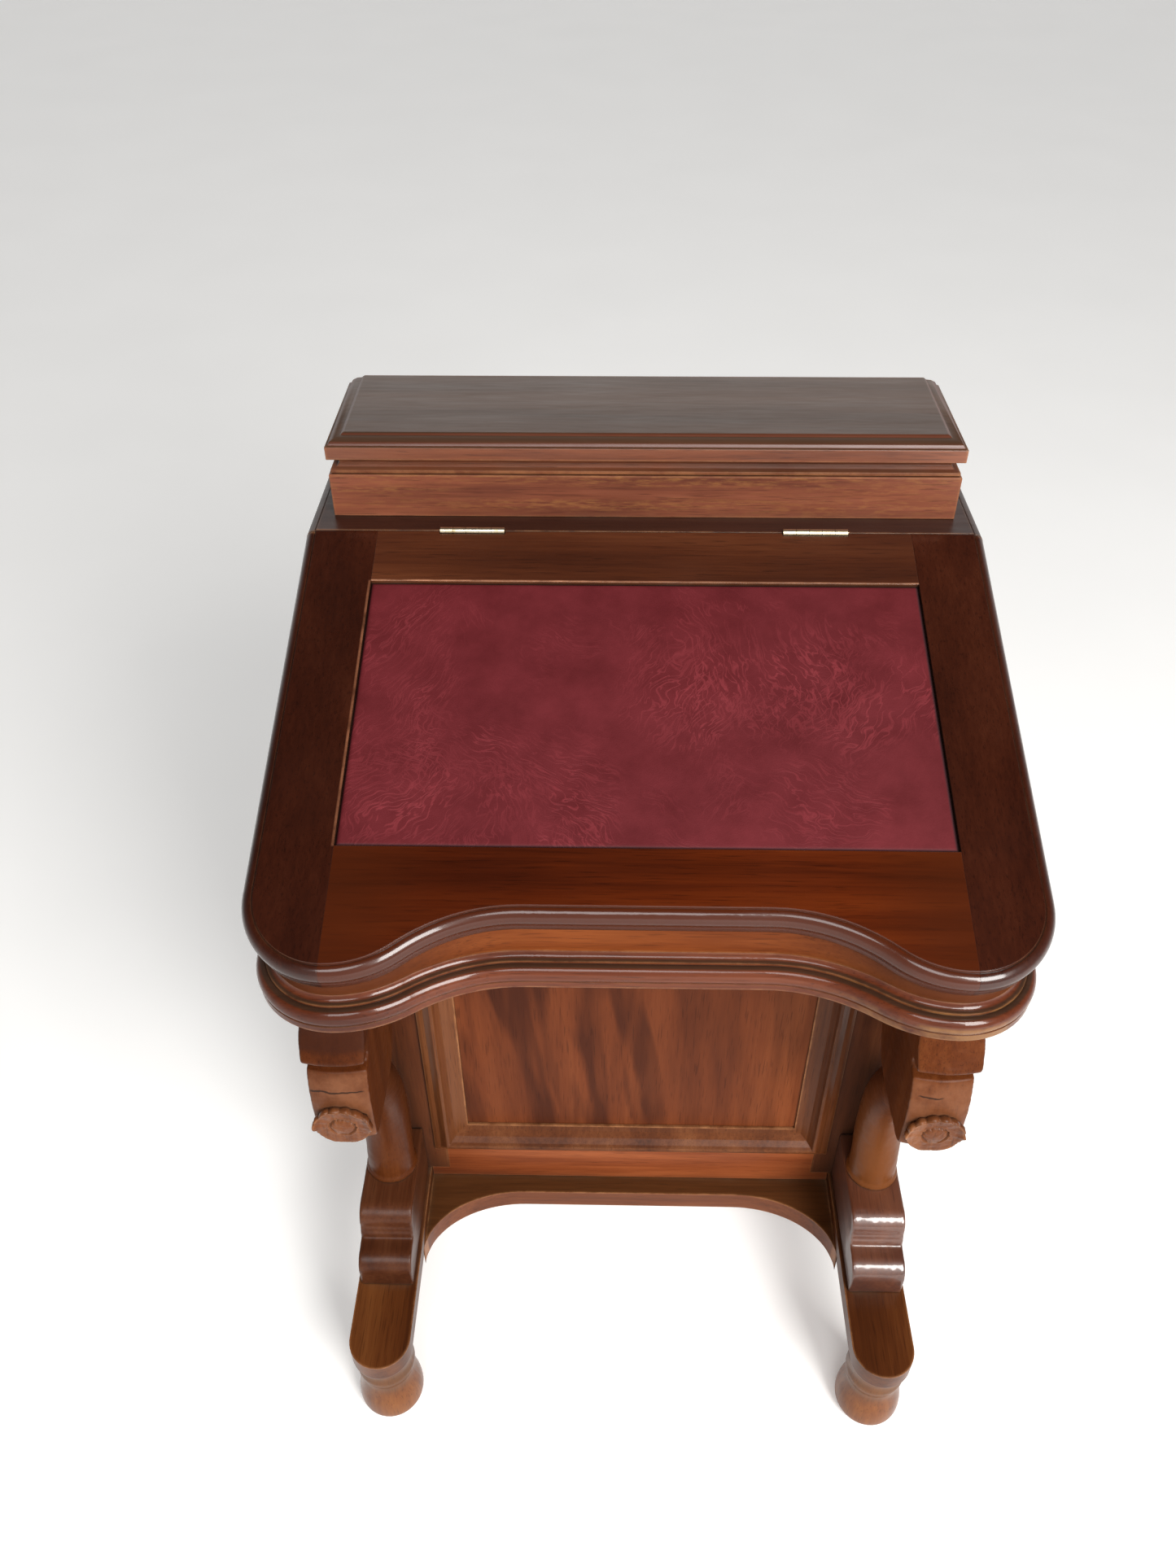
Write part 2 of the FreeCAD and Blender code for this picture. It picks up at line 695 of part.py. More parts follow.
def box_fittings():
    """Pen tray along the front, ink-bottle cells and two stationery dividers."""
    x1 = BOX_X - BOX_WALL
    y0 = BOX_FRONT + BOX_WALL
    tray = box(-150, 150, y0, y0 + 30, LEDGE_TOP, LEDGE_TOP + 16)
    groove = Part.makeCylinder(11, 280, V(-140, y0 + 15, LEDGE_TOP + 17), X_AXIS)
    tray = tray.cut(groove)
    back_y = BOX_BACK - BOX_WALL
    pieces = [tray, box(-x1, x1, y0 + 30, y0 + 35, LEDGE_TOP, LEDGE_TOP + 30)]
    for x in (-155.0, 150.0):
        pieces.append(box(x, x + 5, y0, y0 + 30, LEDGE_TOP, LEDGE_TOP + 30))
    for x in (-82.5, 77.5):
        pieces.append(box(x, x + 5, y0 + 35, back_y, LEDGE_TOP, LEDGE_TOP + 30))
    return group(pieces)


def ink_bottles():
    bottles = []
    y = BOX_FRONT + BOX_WALL + 15.0
    for x in (-175.0, 175.0):
        body = box(x - 13, x + 13, y - 13, y + 13, LEDGE_TOP + 0.3, LEDGE_TOP + 24)
        upright = [e for e in body.Edges if e.BoundBox.ZLength > 20]
        body = body.makeFillet(3.0, upright)
        neck = Part.makeCylinder(8.0, 4.0, V(x, y, LEDGE_TOP + 24))
        bore = Part.makeCylinder(6.4, 22.0, V(x, y, LEDGE_TOP + 7))
        bottles.append(body.fuse(neck).cut(bore))
    return group(bottles)


def bottle_caps():
    caps = []
    y = BOX_FRONT + BOX_WALL + 15.0
    for x in (-175.0, 175.0):
        cap = Part.makeCylinder(10.5, 9.0, V(x, y, LEDGE_TOP + 24.3))
        room = Part.makeCylinder(8.3, 4.2, V(x, y, LEDGE_TOP + 24.2))
        top = [e for e in cap.Edges if e.BoundBox.ZMin > LEDGE_TOP + 33.2]
        caps.append(cap.makeFillet(1.8, top).cut(room))
    return group(caps)


def box_lid_rim():
    """Hollow-moulded frame that drops onto the box rim."""
    z0 = BOX_RIM + RIM_GAP
    z1 = TOP - BOX_BOARD
    y1 = BOX_BACK
    inset = [(1.5, z0), (1.5, z0 + 2.6), (6.0, z0 + 3.4), (8.2, z0 + 6.2), (7.4, z0 + 9.8),
             (4.0, z1)]
    solid = None
    for a, b in zip(inset[:-1], inset[1:]):
        if b[1] - a[1] < 0.01:
            continue
        wires = []
        for off, z in (a, b):
            pts = [V(-BOX_X + off, BOX_FRONT + off, z), V(BOX_X - off, BOX_FRONT + off, z),
                   V(BOX_X - off, y1, z), V(-BOX_X + off, y1, z)]
            wires.append(Part.makePolygon(pts + [pts[0]]))
        piece = Part.makeLoft(wires, True, True)
        solid = piece if solid is None else solid.fuse(piece)
    hollow = box(-BOX_X + 19, BOX_X - 19, BOX_FRONT + 19, y1 - 10, z0 - 1, z1 + 1)
    return solid.cut(hollow).cut(leaf_room(z0 - 1, z0 + 1.2)).removeSplitter()


def box_lid_board():
    """Top board; fillet, ovolo and cove run round the front and sides only."""
    z0 = TOP - BOX_BOARD
    section = [(0.0, z0), (0.0, z0 + 10.4), (2.0, z0 + 10.8), (3.6, z0 + 13.2), (7.6, z0 + 15.0),
               (11.6, z0 + 15.3), (12.4, z0 + 16.2), (14.0, TOP)]
    y1 = BOX_BACK
    solid = None
    for a, b in zip(section[:-1], section[1:]):
        wires = []
        for off, z in (a, b):
            pts = [V(-BOX_X + off, BOX_FRONT - 2 + off, z), V(BOX_X - off, BOX_FRONT - 2 + off, z),
                   V(BOX_X - off, y1, z), V(-BOX_X + off, y1, z)]
            wires.append(Part.makePolygon(pts + [pts[0]]))
        piece = Part.makeLoft(wires, True, True)
        solid = piece if solid is None else solid.fuse(piece)
    return solid.removeSplitter()


def box_hinge(fixed):
    solids = []
    for x in (-BOX_HINGE_X, BOX_HINGE_X):
        half = BOX_HINGE_LEN / 2
        if fixed:
            z0, z1, own, other = BOX_RIM - 1.1, BOX_RIM, (0, 2), (1,)
        else:
            z0, z1, own, other = BOX_RIM + RIM_GAP, BOX_RIM + RIM_GAP + 1.1, (1,), (0, 2)
        leaf = box(x - half + 0.2, x + half - 0.2, BOX_BACK - 6.8, BOX_HINGE_Y, z0, z1)
        pitch = BOX_HINGE_LEN / 3
        for i in other:
            x0 = x - half + i * pitch - 0.15
            leaf = leaf.cut(Part.makeCylinder(2.7, pitch + 0.3, V(x0, BOX_HINGE_Y, BOX_HINGE_Z), X_AXIS))
        tubes = knuckles(BOX_HINGE_Y, BOX_HINGE_Z, 2.4, x, BOX_HINGE_LEN, own, 3)
        solid = leaf.fuse(tubes)
        x0 = x - half + 0.15
        if fixed:
            pin = Part.makeCylinder(1.1, BOX_HINGE_LEN - 0.3, V(x0, BOX_HINGE_Y, BOX_HINGE_Z), X_AXIS)
            solid = solid.fuse(pin).removeSplitter()
        else:
            bore = Part.makeCylinder(1.16, BOX_HINGE_LEN + 2, V(x0 - 1, BOX_HINGE_Y, BOX_HINGE_Z), X_AXIS)
            solid = solid.cut(bore)
        solids.append(solid)
    return group(solids)


# ---- write every piece --------------------------------------------------------------------
os.makedirs("parts", exist_ok=True)

save("bun_feet", bun_feet())
right_sledge = sledge()
save("sledge_right", right_sledge)
save("sledge_left", mirror_x(right_sledge))
save("platform", platform())
right_block = scroll_block()
save("scroll_block_right", right_block)
save("scroll_block_left", mirror_x(right_block))
right_support = support()
save("support_right", right_support)
save("support_left", mirror_x(right_support))
right_rosette = rosette()
save("rosettes", group([right_rosette, mirror_x(right_rosette)]))

right_stile = front_stile()
save("front_stiles", group([right_stile, mirror_x(right_stile)]))
save("front_rails", group([front_rail_bottom(), front_rail_top()]))
save("knee_panel", knee_panel())
save("knee_moulding", knee_moulding())
right_frame = side_frame()
save("side_frame_right", right_frame)
save("side_frame_left", mirror_x(right_frame))
save("dust_boards", dust_boards())
save("back_panel", back_panel())
save("dummy_fronts", group([mirror_x(drawer_face(i)) for i in range(4)]))
dummy_knobs = []
for i in range(4):
    for k in knob_pair(i):
        dummy_knobs.append(mirror_x(k))
save("dummy_knobs", group(dummy_knobs))
for i in range(4):
    name = "drawer_%d" % (i + 1)
    save(name + "_front", drawer_face(i))
    save(name + "_box", drawer_box(i))
    save(name + "_knobs", group(knob_pair(i)))

save("case_front", case_front())
right_side = case_side()
save("case_side_right", right_side)
save("case_side_left", mirror_x(right_side))
save("base_moulding", base_moulding())
save("case_floor", case_floor())
save("case_back", case_back())
save("ledge", ledge())
save("well_fittings", well_fittings())
right_inner = group([inner_drawer(), inner_knob()])
save("inner_drawer_right", right_inner)
save("inner_drawer_left", mirror_x(right_inner))

for piece_name, piece in lid_pieces().items():
    save(piece_name, piece)
save("lid_panel", lid_panel())
save("leather", leather())
save("slope_hinge_fixed", group([slope_hinge_fixed(x) for x in (-HINGE_X, HINGE_X)]))
save("slope_hinge_moving", group([slope_hinge_moving(x) for x in (-HINGE_X, HINGE_X)]))

save("box_front", box_front())
save("box_back", box_back())
save("box_sides", box_sides())
save("box_fittings", box_fittings())
save("ink_bottles", ink_bottles())
save("bottle_caps", bottle_caps())
save("box_lid_rim", box_lid_rim())
save("box_lid_board", box_lid_board())
save("box_hinge_fixed", box_hinge(True))
save("box_hinge_moving", box_hinge(False))
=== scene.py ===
import math

import bpy
import numpy as np
from mathutils import Matrix, Vector, noise


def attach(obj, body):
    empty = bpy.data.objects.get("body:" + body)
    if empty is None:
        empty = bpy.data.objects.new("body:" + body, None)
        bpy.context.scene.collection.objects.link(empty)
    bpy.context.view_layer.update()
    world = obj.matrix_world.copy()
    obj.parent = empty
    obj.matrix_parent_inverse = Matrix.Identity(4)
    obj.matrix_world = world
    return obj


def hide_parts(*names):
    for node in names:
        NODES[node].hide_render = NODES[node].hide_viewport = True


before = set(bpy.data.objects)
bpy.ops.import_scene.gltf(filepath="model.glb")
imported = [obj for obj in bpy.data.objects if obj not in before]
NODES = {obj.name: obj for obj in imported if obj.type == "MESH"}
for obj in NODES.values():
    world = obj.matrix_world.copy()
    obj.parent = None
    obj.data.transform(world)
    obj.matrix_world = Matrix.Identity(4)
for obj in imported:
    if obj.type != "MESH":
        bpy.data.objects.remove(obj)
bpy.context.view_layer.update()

# The desk stands with +X to the sitter's right, +Y to the back and +Z up, in metres.
LEDGE_TOP = 0.778          # height of the hinge line of the writing lid
HINGE_Y = 0.109
SLOPE = math.radians(17.5)
HEAD_X = 0.2335            # middle of each scroll and its rosette
HEAD_HALF = 0.0238         # half the width of a scroll
ROSETTE_Y = -0.1968        # the scroll's face, which the rosette is carved on
ROSETTE_Z = 0.4205
JOINT_X = 0.210            # flush joints between the lid's stiles and rails, either side
MERGE = 1e-6               # CAD points this close are one point


# ---- shader graphs ---------------------------------------------------------------
COLOUR_A, COLOUR_B, COLOUR_OUT = 6, 7, 2     # the colour sockets of a Mix node
AO_SAMPLES = 6
BEVEL_SAMPLES = 4


class Graph:
    """A material with a Principled shader and short calls to add nodes to it."""

    def __init__(self, name):
        self.material = bpy.data.materials.new(name)
        self.material.use_nodes = True
        self.tree = self.material.node_tree
        self.tree.nodes.clear()
        out = self.add("ShaderNodeOutputMaterial")
        self.shader = self.add("ShaderNodeBsdfPrincipled")
        self.link(self.shader.outputs["BSDF"], out.inputs["Surface"])
        self.place = self.add("ShaderNodeTexCoord").outputs["Object"]

    def add(self, kind, **settings):
        node = self.tree.nodes.new(kind)
        for key, value in settings.items():
            setattr(node, key, value)
        return node

    def link(self, a, b):
        self.tree.links.new(a, b)

    def feed(self, socket, value):
        if isinstance(value, bpy.types.NodeSocket):
            self.link(value, socket)
        else:
            socket.default_value = value

    def math(self, operation, a, b=0.0, clamp=False):
        node = self.add("ShaderNodeMath", operation=operation, use_clamp=clamp)
        self.feed(node.inputs[0], a)
        self.feed(node.inputs[1], b)
        return node.outputs[0]

    def product(self, *factors):
        result = factors[0]
        for factor in factors[1:]:
            result = self.math("MULTIPLY", result, factor)
        return result

    def scaled(self, place, scale, turn=(0, 0, 0), move=(0, 0, 0)):
        node = self.add("ShaderNodeMapping")
        self.link(place, node.inputs["Vector"])
        node.inputs["Scale"].default_value = scale
        node.inputs["Rotation"].default_value = turn
        node.inputs["Location"].default_value = move
        return node.outputs["Vector"]

    def axis(self, name, place=None):
        node = self.add("ShaderNodeSeparateXYZ")
        self.link(place or self.place, node.inputs[0])
        return node.outputs[name]

    def noise(self, place, scale, detail=3.0, rough=0.55, distortion=0.0):
        node = self.add("ShaderNodeTexNoise")
        self.link(place, node.inputs["Vector"])
        node.inputs["Scale"].default_value = scale
        node.inputs["Detail"].default_value = detail
        node.inputs["Roughness"].default_value = rough
        node.inputs["Distortion"].default_value = distortion
        return node.outputs["Fac"]

    def voronoi(self, place, scale):
        node = self.add("ShaderNodeTexVoronoi")
        self.link(place, node.inputs["Vector"])
        node.inputs["Scale"].default_value = scale
        return node.outputs["Distance"]

    def ramp(self, factor, *stops):
        """Stops are (position, grey or colour)."""
        node = self.add("ShaderNodeValToRGB")
        band = node.color_ramp
        while len(band.elements) < len(stops):
            band.elements.new(0.5)
        for element, (position, value) in zip(band.elements, stops):
            colour = value if isinstance(value, tuple) else (value, value, value)
            element.position = position
            element.color = (*colour, 1.0)
        self.link(factor, node.inputs["Fac"])
        return node.outputs["Color"]

    def between(self, value, low, high):
        """0 at low and 1 at high, smooth and clamped; low may be the larger."""
        node = self.add("ShaderNodeMapRange", interpolation_type="SMOOTHSTEP")
        self.feed(node.inputs["Value"], value)
        start, end = (0.0, 1.0) if low < high else (1.0, 0.0)
        node.inputs["From Min"].default_value = min(low, high)
        node.inputs["From Max"].default_value = max(low, high)
        node.inputs["To Min"].default_value = start
        node.inputs["To Max"].default_value = end
        return node.outputs["Result"]

    def mix(self, factor, a, b, blend="MIX"):
        node = self.add("ShaderNodeMix", data_type="RGBA", blend_type=blend)
        self.feed(node.inputs["Factor"], factor)
        for socket, value in ((node.inputs[COLOUR_A], a), (node.inputs[COLOUR_B], b)):
            if isinstance(value, tuple):
                value = (*value, 1.0)
            self.feed(socket, value)
        return node.outputs[COLOUR_OUT]

    def arris(self, distance):
        """White on convex edges: close to another face through the solid."""
        node = self.add("ShaderNodeAmbientOcclusion", samples=AO_SAMPLES, inside=True,
                        only_local=True)
        node.inputs["Distance"].default_value = distance
        return self.math("SUBTRACT", 1.0, node.outputs["AO"], clamp=True)

    def crevice(self, distance):
        """White in corners and hollows."""
        node = self.add("ShaderNodeAmbientOcclusion", samples=AO_SAMPLES)
        node.inputs["Distance"].default_value = distance
        return self.math("SUBTRACT", 1.0, node.outputs["AO"], clamp=True)

    def facing(self, axis):
        """How far the surface faces along an axis, -1 to 1, in the piece's own frame."""
        return self.axis(axis, self.add("ShaderNodeTexCoord").outputs["Normal"])

    def bump(self, *layers, soften=0.0):
        """Layers are (height, strength, distance); soften rounds the shading of sharp edges."""
        normal = None
        if soften > 0:
            bevel = self.add("ShaderNodeBevel", samples=BEVEL_SAMPLES)
            bevel.inputs["Radius"].default_value = soften
            normal = bevel.outputs["Normal"]
        for height, strength, distance in layers:
            node = self.add("ShaderNodeBump")
            node.inputs["Strength"].default_value = strength
            node.inputs["Distance"].default_value = distance
            self.link(height, node.inputs["Height"])
            if normal is not None:
                self.link(normal, node.inputs["Normal"])
            normal = node.outputs["Normal"]
        self.link(normal, self.shader.inputs["Normal"])

    def set(self, **values):
        for key, value in values.items():
            self.feed(self.shader.inputs[key.replace("_", " ")], value)


# ---- wood --------------------------------------------------------------------------
GRAIN_TURN = {"X": (0, 0, 0), "Y": (0, 0, math.radians(90)), "Z": (0, math.radians(90), 0)}
DUST = (0.105, 0.072, 0.048)
TAN = (0.300, 0.130, 0.052)            # bare wood on rubbed arrises
PALE = (0.400, 0.220, 0.105)           # unpolished linings
FLECK = (0.270, 0.120, 0.035)
SOOT = (0.016, 0.008, 0.005)           # the bottoms of tight joints
# painted shade: the colour that wide corners are darkened towards
PAINTED_SHADE = (0.020, 0.009, 0.005)
SPLIT = (0.012, 0.006, 0.004)
ARRIS = 0.0028                         # widths in metres of the worn edges, the dusty hollows and tight joints, and the painted shade in wide corners
TIGHT, HOLLOW, WIDE = 0.0022, 0.014, 0.07


def wood(name, grain, colour, seed, figure=1.0, streaks=0.0, wear=0.6, dust=0.4,
         shine=0.2, coat=0.0, gloss=0.32, film=0.0, film_colour=None, wide_shade=0.0, flecks=0.0,
         plain=0.0, joint=None, details=None):
    """Mahogany of a middle colour, its grain along one axis.

    seed: shifts the figure from one board to the next;
    figure: contrast of the ribbon grain; plain: fewer fine fibres;
    streaks: dark flames, most of them to the left; flecks: amber ray flecks;
    wear: rubbed arrises; dust: grey brown dust in the hollows; wide_shade: painted shade, darkening
    wide corners;
    shine: specular level; coat: clear polish, thin underneath; gloss: middle roughness;
    film, film_colour: dulled to that colour where it faces up;
    joint: the X either side at which a flush joint lies, where nothing is rubbed;
    details: more marks, as a call from graph and colour to colour.
    """
    g = Graph(name)
    turned = g.scaled(g.place, (1, 1, 1), GRAIN_TURN[grain], (seed * 3.7, seed * 1.3, seed * 2.1))
    ribbon = g.noise(g.scaled(turned, (1.6, 24.0, 24.0)), 1.0, 5.0, 0.62, 0.6)
    fibre = g.noise(g.scaled(turned, (9.0, 300.0, 300.0)), 1.0, 4.0, 0.65)
    pore = g.noise(g.scaled(turned, (38.0, 900.0, 900.0)), 1.0, 1.0, 0.5)
    cloud = g.noise(g.scaled(turned, (4.0, 8.0, 8.0), move=(5, 5, 5)), 1.0, 3.0, 0.5)

    dark = (0.42 * colour[0], 0.38 * colour[1], 0.45 * colour[2])
    light = (1.65 * colour[0], 1.95 * colour[1], 2.10 * colour[2])
    fine = 0.30 * (1.0 - plain)
    tone = g.math("ADD", g.math("MULTIPLY", ribbon, 0.70 * figure), g.math("MULTIPLY", fibre, fine))
    tone = g.math("ADD", tone, 0.35 * (1.0 - figure) + 0.5 * (0.30 - fine))
    shown = g.ramp(tone, (0.30, dark), (0.50, colour), (0.72, light))
    shade = g.ramp(cloud, (0.28, (0.70, 0.66, 0.66)), (0.72, (1.20, 1.22, 1.20)))
    shown = g.mix(1.0, shown, shade, "MULTIPLY")
    if streaks > 0:
        leaning = g.scaled(turned, (1, 1, 1), (0, 0.09, 0.09))
        bands = g.noise(g.scaled(leaning, (2.8, 40.0, 40.0), move=(2, 2, 2)), 1.0, 2.0, 0.45, 0.3)
        busy = g.math("ADD", g.math("MULTIPLY", g.between(g.axis("X"), 0.070, 0.0), 0.65), 0.35)
        bands = g.math("MULTIPLY", g.ramp(bands, (0.47, 0.0), (0.62, 1.0)), busy)
        shown = g.mix(g.math("MULTIPLY", bands, streaks), shown, tuple(0.75 * v for v in dark))
    pores = g.ramp(pore, (0.60, 0.0), (0.70, 1.0))
    shown = g.mix(g.math("MULTIPLY", pores, 0.40), shown, tuple(0.40 * v for v in dark))
    if flecks > 0:
        spot = g.noise(g.scaled(turned, (90.0, 520.0, 520.0)), 1.0, 3.0, 0.6)
        where = g.noise(g.scaled(turned, (2.5, 55.0, 55.0)), 1.0, 3.0)
        where = g.ramp(where, (0.45, 0.0), (0.70, 1.0))
        spot = g.product(g.ramp(spot, (0.44, 0.0), (0.66, 1.0)), where, flecks)
        shown = g.mix(spot, shown, FLECK)
    if film > 0:
        top = g.between(g.facing("Z"), 0.80, 0.97)
        dulled = g.mix(1.0, g.ramp(tone, (0.36, 0.72), (0.66, 1.28)), film_colour, "MULTIPLY")
        shown = g.mix(g.math("MULTIPLY", top, film), shown, dulled)

    chips = g.ramp(g.noise(g.place, 48.0, 5.0, 0.7), (0.36, 0.15), (0.60, 1.0))
    rubbed = g.product(g.ramp(g.arris(ARRIS), (0.16, 0.0), (0.46, 1.0)), chips, wear)
    if joint:
        away = g.math("ABSOLUTE", g.math("SUBTRACT", g.math("ABSOLUTE", g.axis("X")), joint))
        on_top = g.between(g.facing("Z"), 0.93, 0.95)
        kept = g.math("MULTIPLY", g.between(away, 0.0015, 0.0050), g.math("SUBTRACT", 1.0, on_top))
        rubbed = g.math("MULTIPLY", rubbed, kept)
    shown = g.mix(rubbed, shown, TAN)
    # grey brown dust in the hollows
    dirt_and_shade = g.ramp(g.crevice(HOLLOW), (0.30, 0.0), (0.80, 1.0))
    patch = g.ramp(g.noise(g.place, 34.0, 4.0, 0.6), (0.35, 0.2), (0.65, 1.0))
    dirt_and_shade = g.product(dirt_and_shade, patch, dust)
    shown = g.mix(dirt_and_shade, shown, DUST)
    shown = g.mix(g.ramp(g.crevice(TIGHT), (0.42, 0.0), (0.75, 0.75)), shown, SOOT)
    rough = g.math("ADD", g.math("MULTIPLY", g.noise(g.place, 16.0, 4.0, 0.6), 0.18), gloss - 0.06)
    # painted shade: wide corners and recesses darkened where shade falls under and between parts;
    # they are also made rougher
    if wide_shade > 0:
        corner = g.math("MULTIPLY", g.ramp(g.crevice(WIDE), (0.25, 0.0), (0.75, 1.0)), wide_shade)
        shown = g.mix(corner, shown, PAINTED_SHADE)
        rough = g.math("ADD", rough, g.math("MULTIPLY", corner, 0.5))
    if details:
        shown = details(g, shown)

    rough = g.math("ADD", rough, g.math("MULTIPLY", dirt_and_shade, 0.30), clamp=True)
    g.set(Base_Color=shown, Roughness=rough, IOR=1.5, Specular_IOR_Level=shine)
    if coat > 0:
        kept = g.math("ADD", g.math("MULTIPLY", g.between(g.facing("Z"), -0.30, 0.45), 0.85), 0.15)
        g.set(Coat_Weight=g.math("MULTIPLY", kept, coat), Coat_Roughness=0.09)
    waviness = g.noise(g.scaled(turned, (7.0, 34.0, 34.0)), 1.0, 3.0)
    g.bump((pore, -0.12, 0.0005), (fibre, 0.10, 0.0004), (waviness, 0.16, 0.004), soften=0.0009)
    return g.material


def crack(g, colour, left, right, height, slant=0.0):
    """A dark hair crack that wanders across the grain between two places in X."""
    x = g.axis("X")
    wander = g.math("MULTIPLY", g.math("SUBTRACT", g.noise(g.place, 70.0, 3.0), 0.5), 0.007)
    level = g.math("ADD", g.math("MULTIPLY", x, slant), g.math("ADD", wander, height))
    away = g.math("ABSOLUTE", g.math("SUBTRACT", g.axis("Z"), level))
    line = g.product(g.between(away, 0.0013, 0.0004), g.between(x, left, left + 0.004),
                     g.between(x, right, right - 0.004), g.between(g.facing("Y"), -0.2, -0.6))
    return g.mix(g.math("MULTIPLY", line, 0.85), colour, SPLIT)


def front_marks(g, colour):
    """The front rail is darker over its moulded nose and towards its rounded ends."""
    ends = g.between(g.math("ABSOLUTE", g.axis("X")), 0.120, 0.215)
    nose = g.between(g.facing("Z"), 0.93, 0.88)
    dark = g.math("MAXIMUM", g.math("MULTIPLY", ends, 0.70), g.math("MULTIPLY", nose, 0.85))
    return g.mix(dark, colour, (0.048, 0.0092, 0.0020))


def stile_marks(g, colour):
    """The left edge of the leather's opening is rubbed pale."""
    x, y = g.axis("X"), g.axis("Y")
    chips = g.ramp(g.noise(g.place, 60.0, 4.0, 0.6), (0.30, 0.3), (0.60, 1.0))
    line = g.product(g.between(x, -0.2122, -0.2112), g.between(x, -0.2080, -0.2090), chips,
                     g.between(y, -0.1625, -0.1605), g.between(y, 0.0610, 0.0590),
                     g.between(g.facing("Z"), 0.2, 0.5), 0.55)
    return g.mix(line, colour, (0.330, 0.130, 0.065))


def rail_marks(g, colour):
    """The far edge of the leather's opening is rubbed pale, more so to the left."""
    x, y = g.axis("X"), g.axis("Y")
    chips = g.ramp(g.noise(g.place, 50.0, 4.0, 0.6), (0.30, 0.25), (0.60, 1.0))
    line = g.product(g.between(y, 0.0614, 0.0604), g.between(g.facing("Z"), 0.2, 0.5), chips,
                     g.math("ADD", 0.5, g.math("MULTIPLY", g.between(x, 0.0, -0.05), 0.35)))
    return g.mix(line, colour, (0.420, 0.190, 0.105))


def lid_marks(g, colour):
    """The bevel round the top of the box lid is darker than its edge."""
    slope = g.facing("Z")
    bevel = g.product(g.between(slope, 0.10, 0.35), g.between(slope, 0.97, 0.85), 0.85)
    return g.mix(bevel, colour, (0.070, 0.0180, 0.0080))


def foot_marks(g, colour):
    """Grey brown dust round the necks of the feet, over clear amber bulbs."""
    patch = g.ramp(g.noise(g.place, 60.0, 4.0, 0.65), (0.30, 0.4), (0.65, 1.0))
    neck = g.product(g.between(g.axis("Z"), 0.038, 0.058), patch, 0.65)
    return g.mix(neck, colour, (0.076, 0.036, 0.014))


def band_marks(g, colour):
    """The band under the lid is clear amber in the middle and dark towards its ends."""
    ends = g.between(g.math("ABSOLUTE", g.axis("X")), 0.060, 0.200)
    return g.mix(g.math("MULTIPLY", ends, 0.80), colour, (0.058, 0.0160, 0.0056))


def base_marks(g, colour):
    """Polish worn through to amber round the right front corner of the base moulding."""
    x = g.axis("X")
    patch = g.ramp(g.noise(g.place, 30.0, 4.0, 0.65), (0.40, 0.0), (0.62, 1.0))
    worn = g.product(g.between(x, 0.110, 0.170), g.between(g.facing("Z"), 0.35, -0.05),
                     g.between(g.facing("Y"), 0.10, -0.40), patch, 0.65)
    return g.mix(worn, colour, (0.230, 0.110, 0.036))


def support_marks(g, colour):
    """The worn pale scroll faces, painted shade on the left cap and left leg, and painted light on
    the right leg.
    """
    z = g.axis("Z")
    front = g.between(g.facing("Y"), -0.30, -0.75)
    rubbed = g.ramp(g.noise(g.place, 42.0, 4.0, 0.65), (0.35, 0.25), (0.65, 1.0))
    face = g.product(front, rubbed, g.between(z, 0.392, 0.400), g.between(z, 0.480, 0.470))
    colour = g.mix(g.math("MULTIPLY", face, 0.75), colour, (0.172, 0.066, 0.030))
    left = g.between(g.axis("X"), 0.01, -0.01)
    # painted shade: the left cap, shaded by the case above it, darkened
    cap = g.product(g.between(z, 0.500, 0.506), left, 0.75)
    colour = g.mix(cap, colour, (0.030, 0.0080, 0.0036))
    # painted light: the lower part of the right leg lightened to amber, as if lit from the right
    leg = g.product(g.between(z, 0.350, 0.230), g.math("SUBTRACT", 1.0, left), 0.60)
    colour = g.mix(leg, colour, (0.155, 0.050, 0.013))
    # painted shade: the left leg below the head darkened
    leg = g.product(g.between(z, 0.400, 0.360), left, 0.45)
    colour = g.mix(leg, colour, (0.042, 0.0100, 0.0024))
    colour = crack(g, colour, -0.258, -0.212, 0.4575)
    return crack(g, colour, 0.214, 0.236, 0.4560, 0.02)


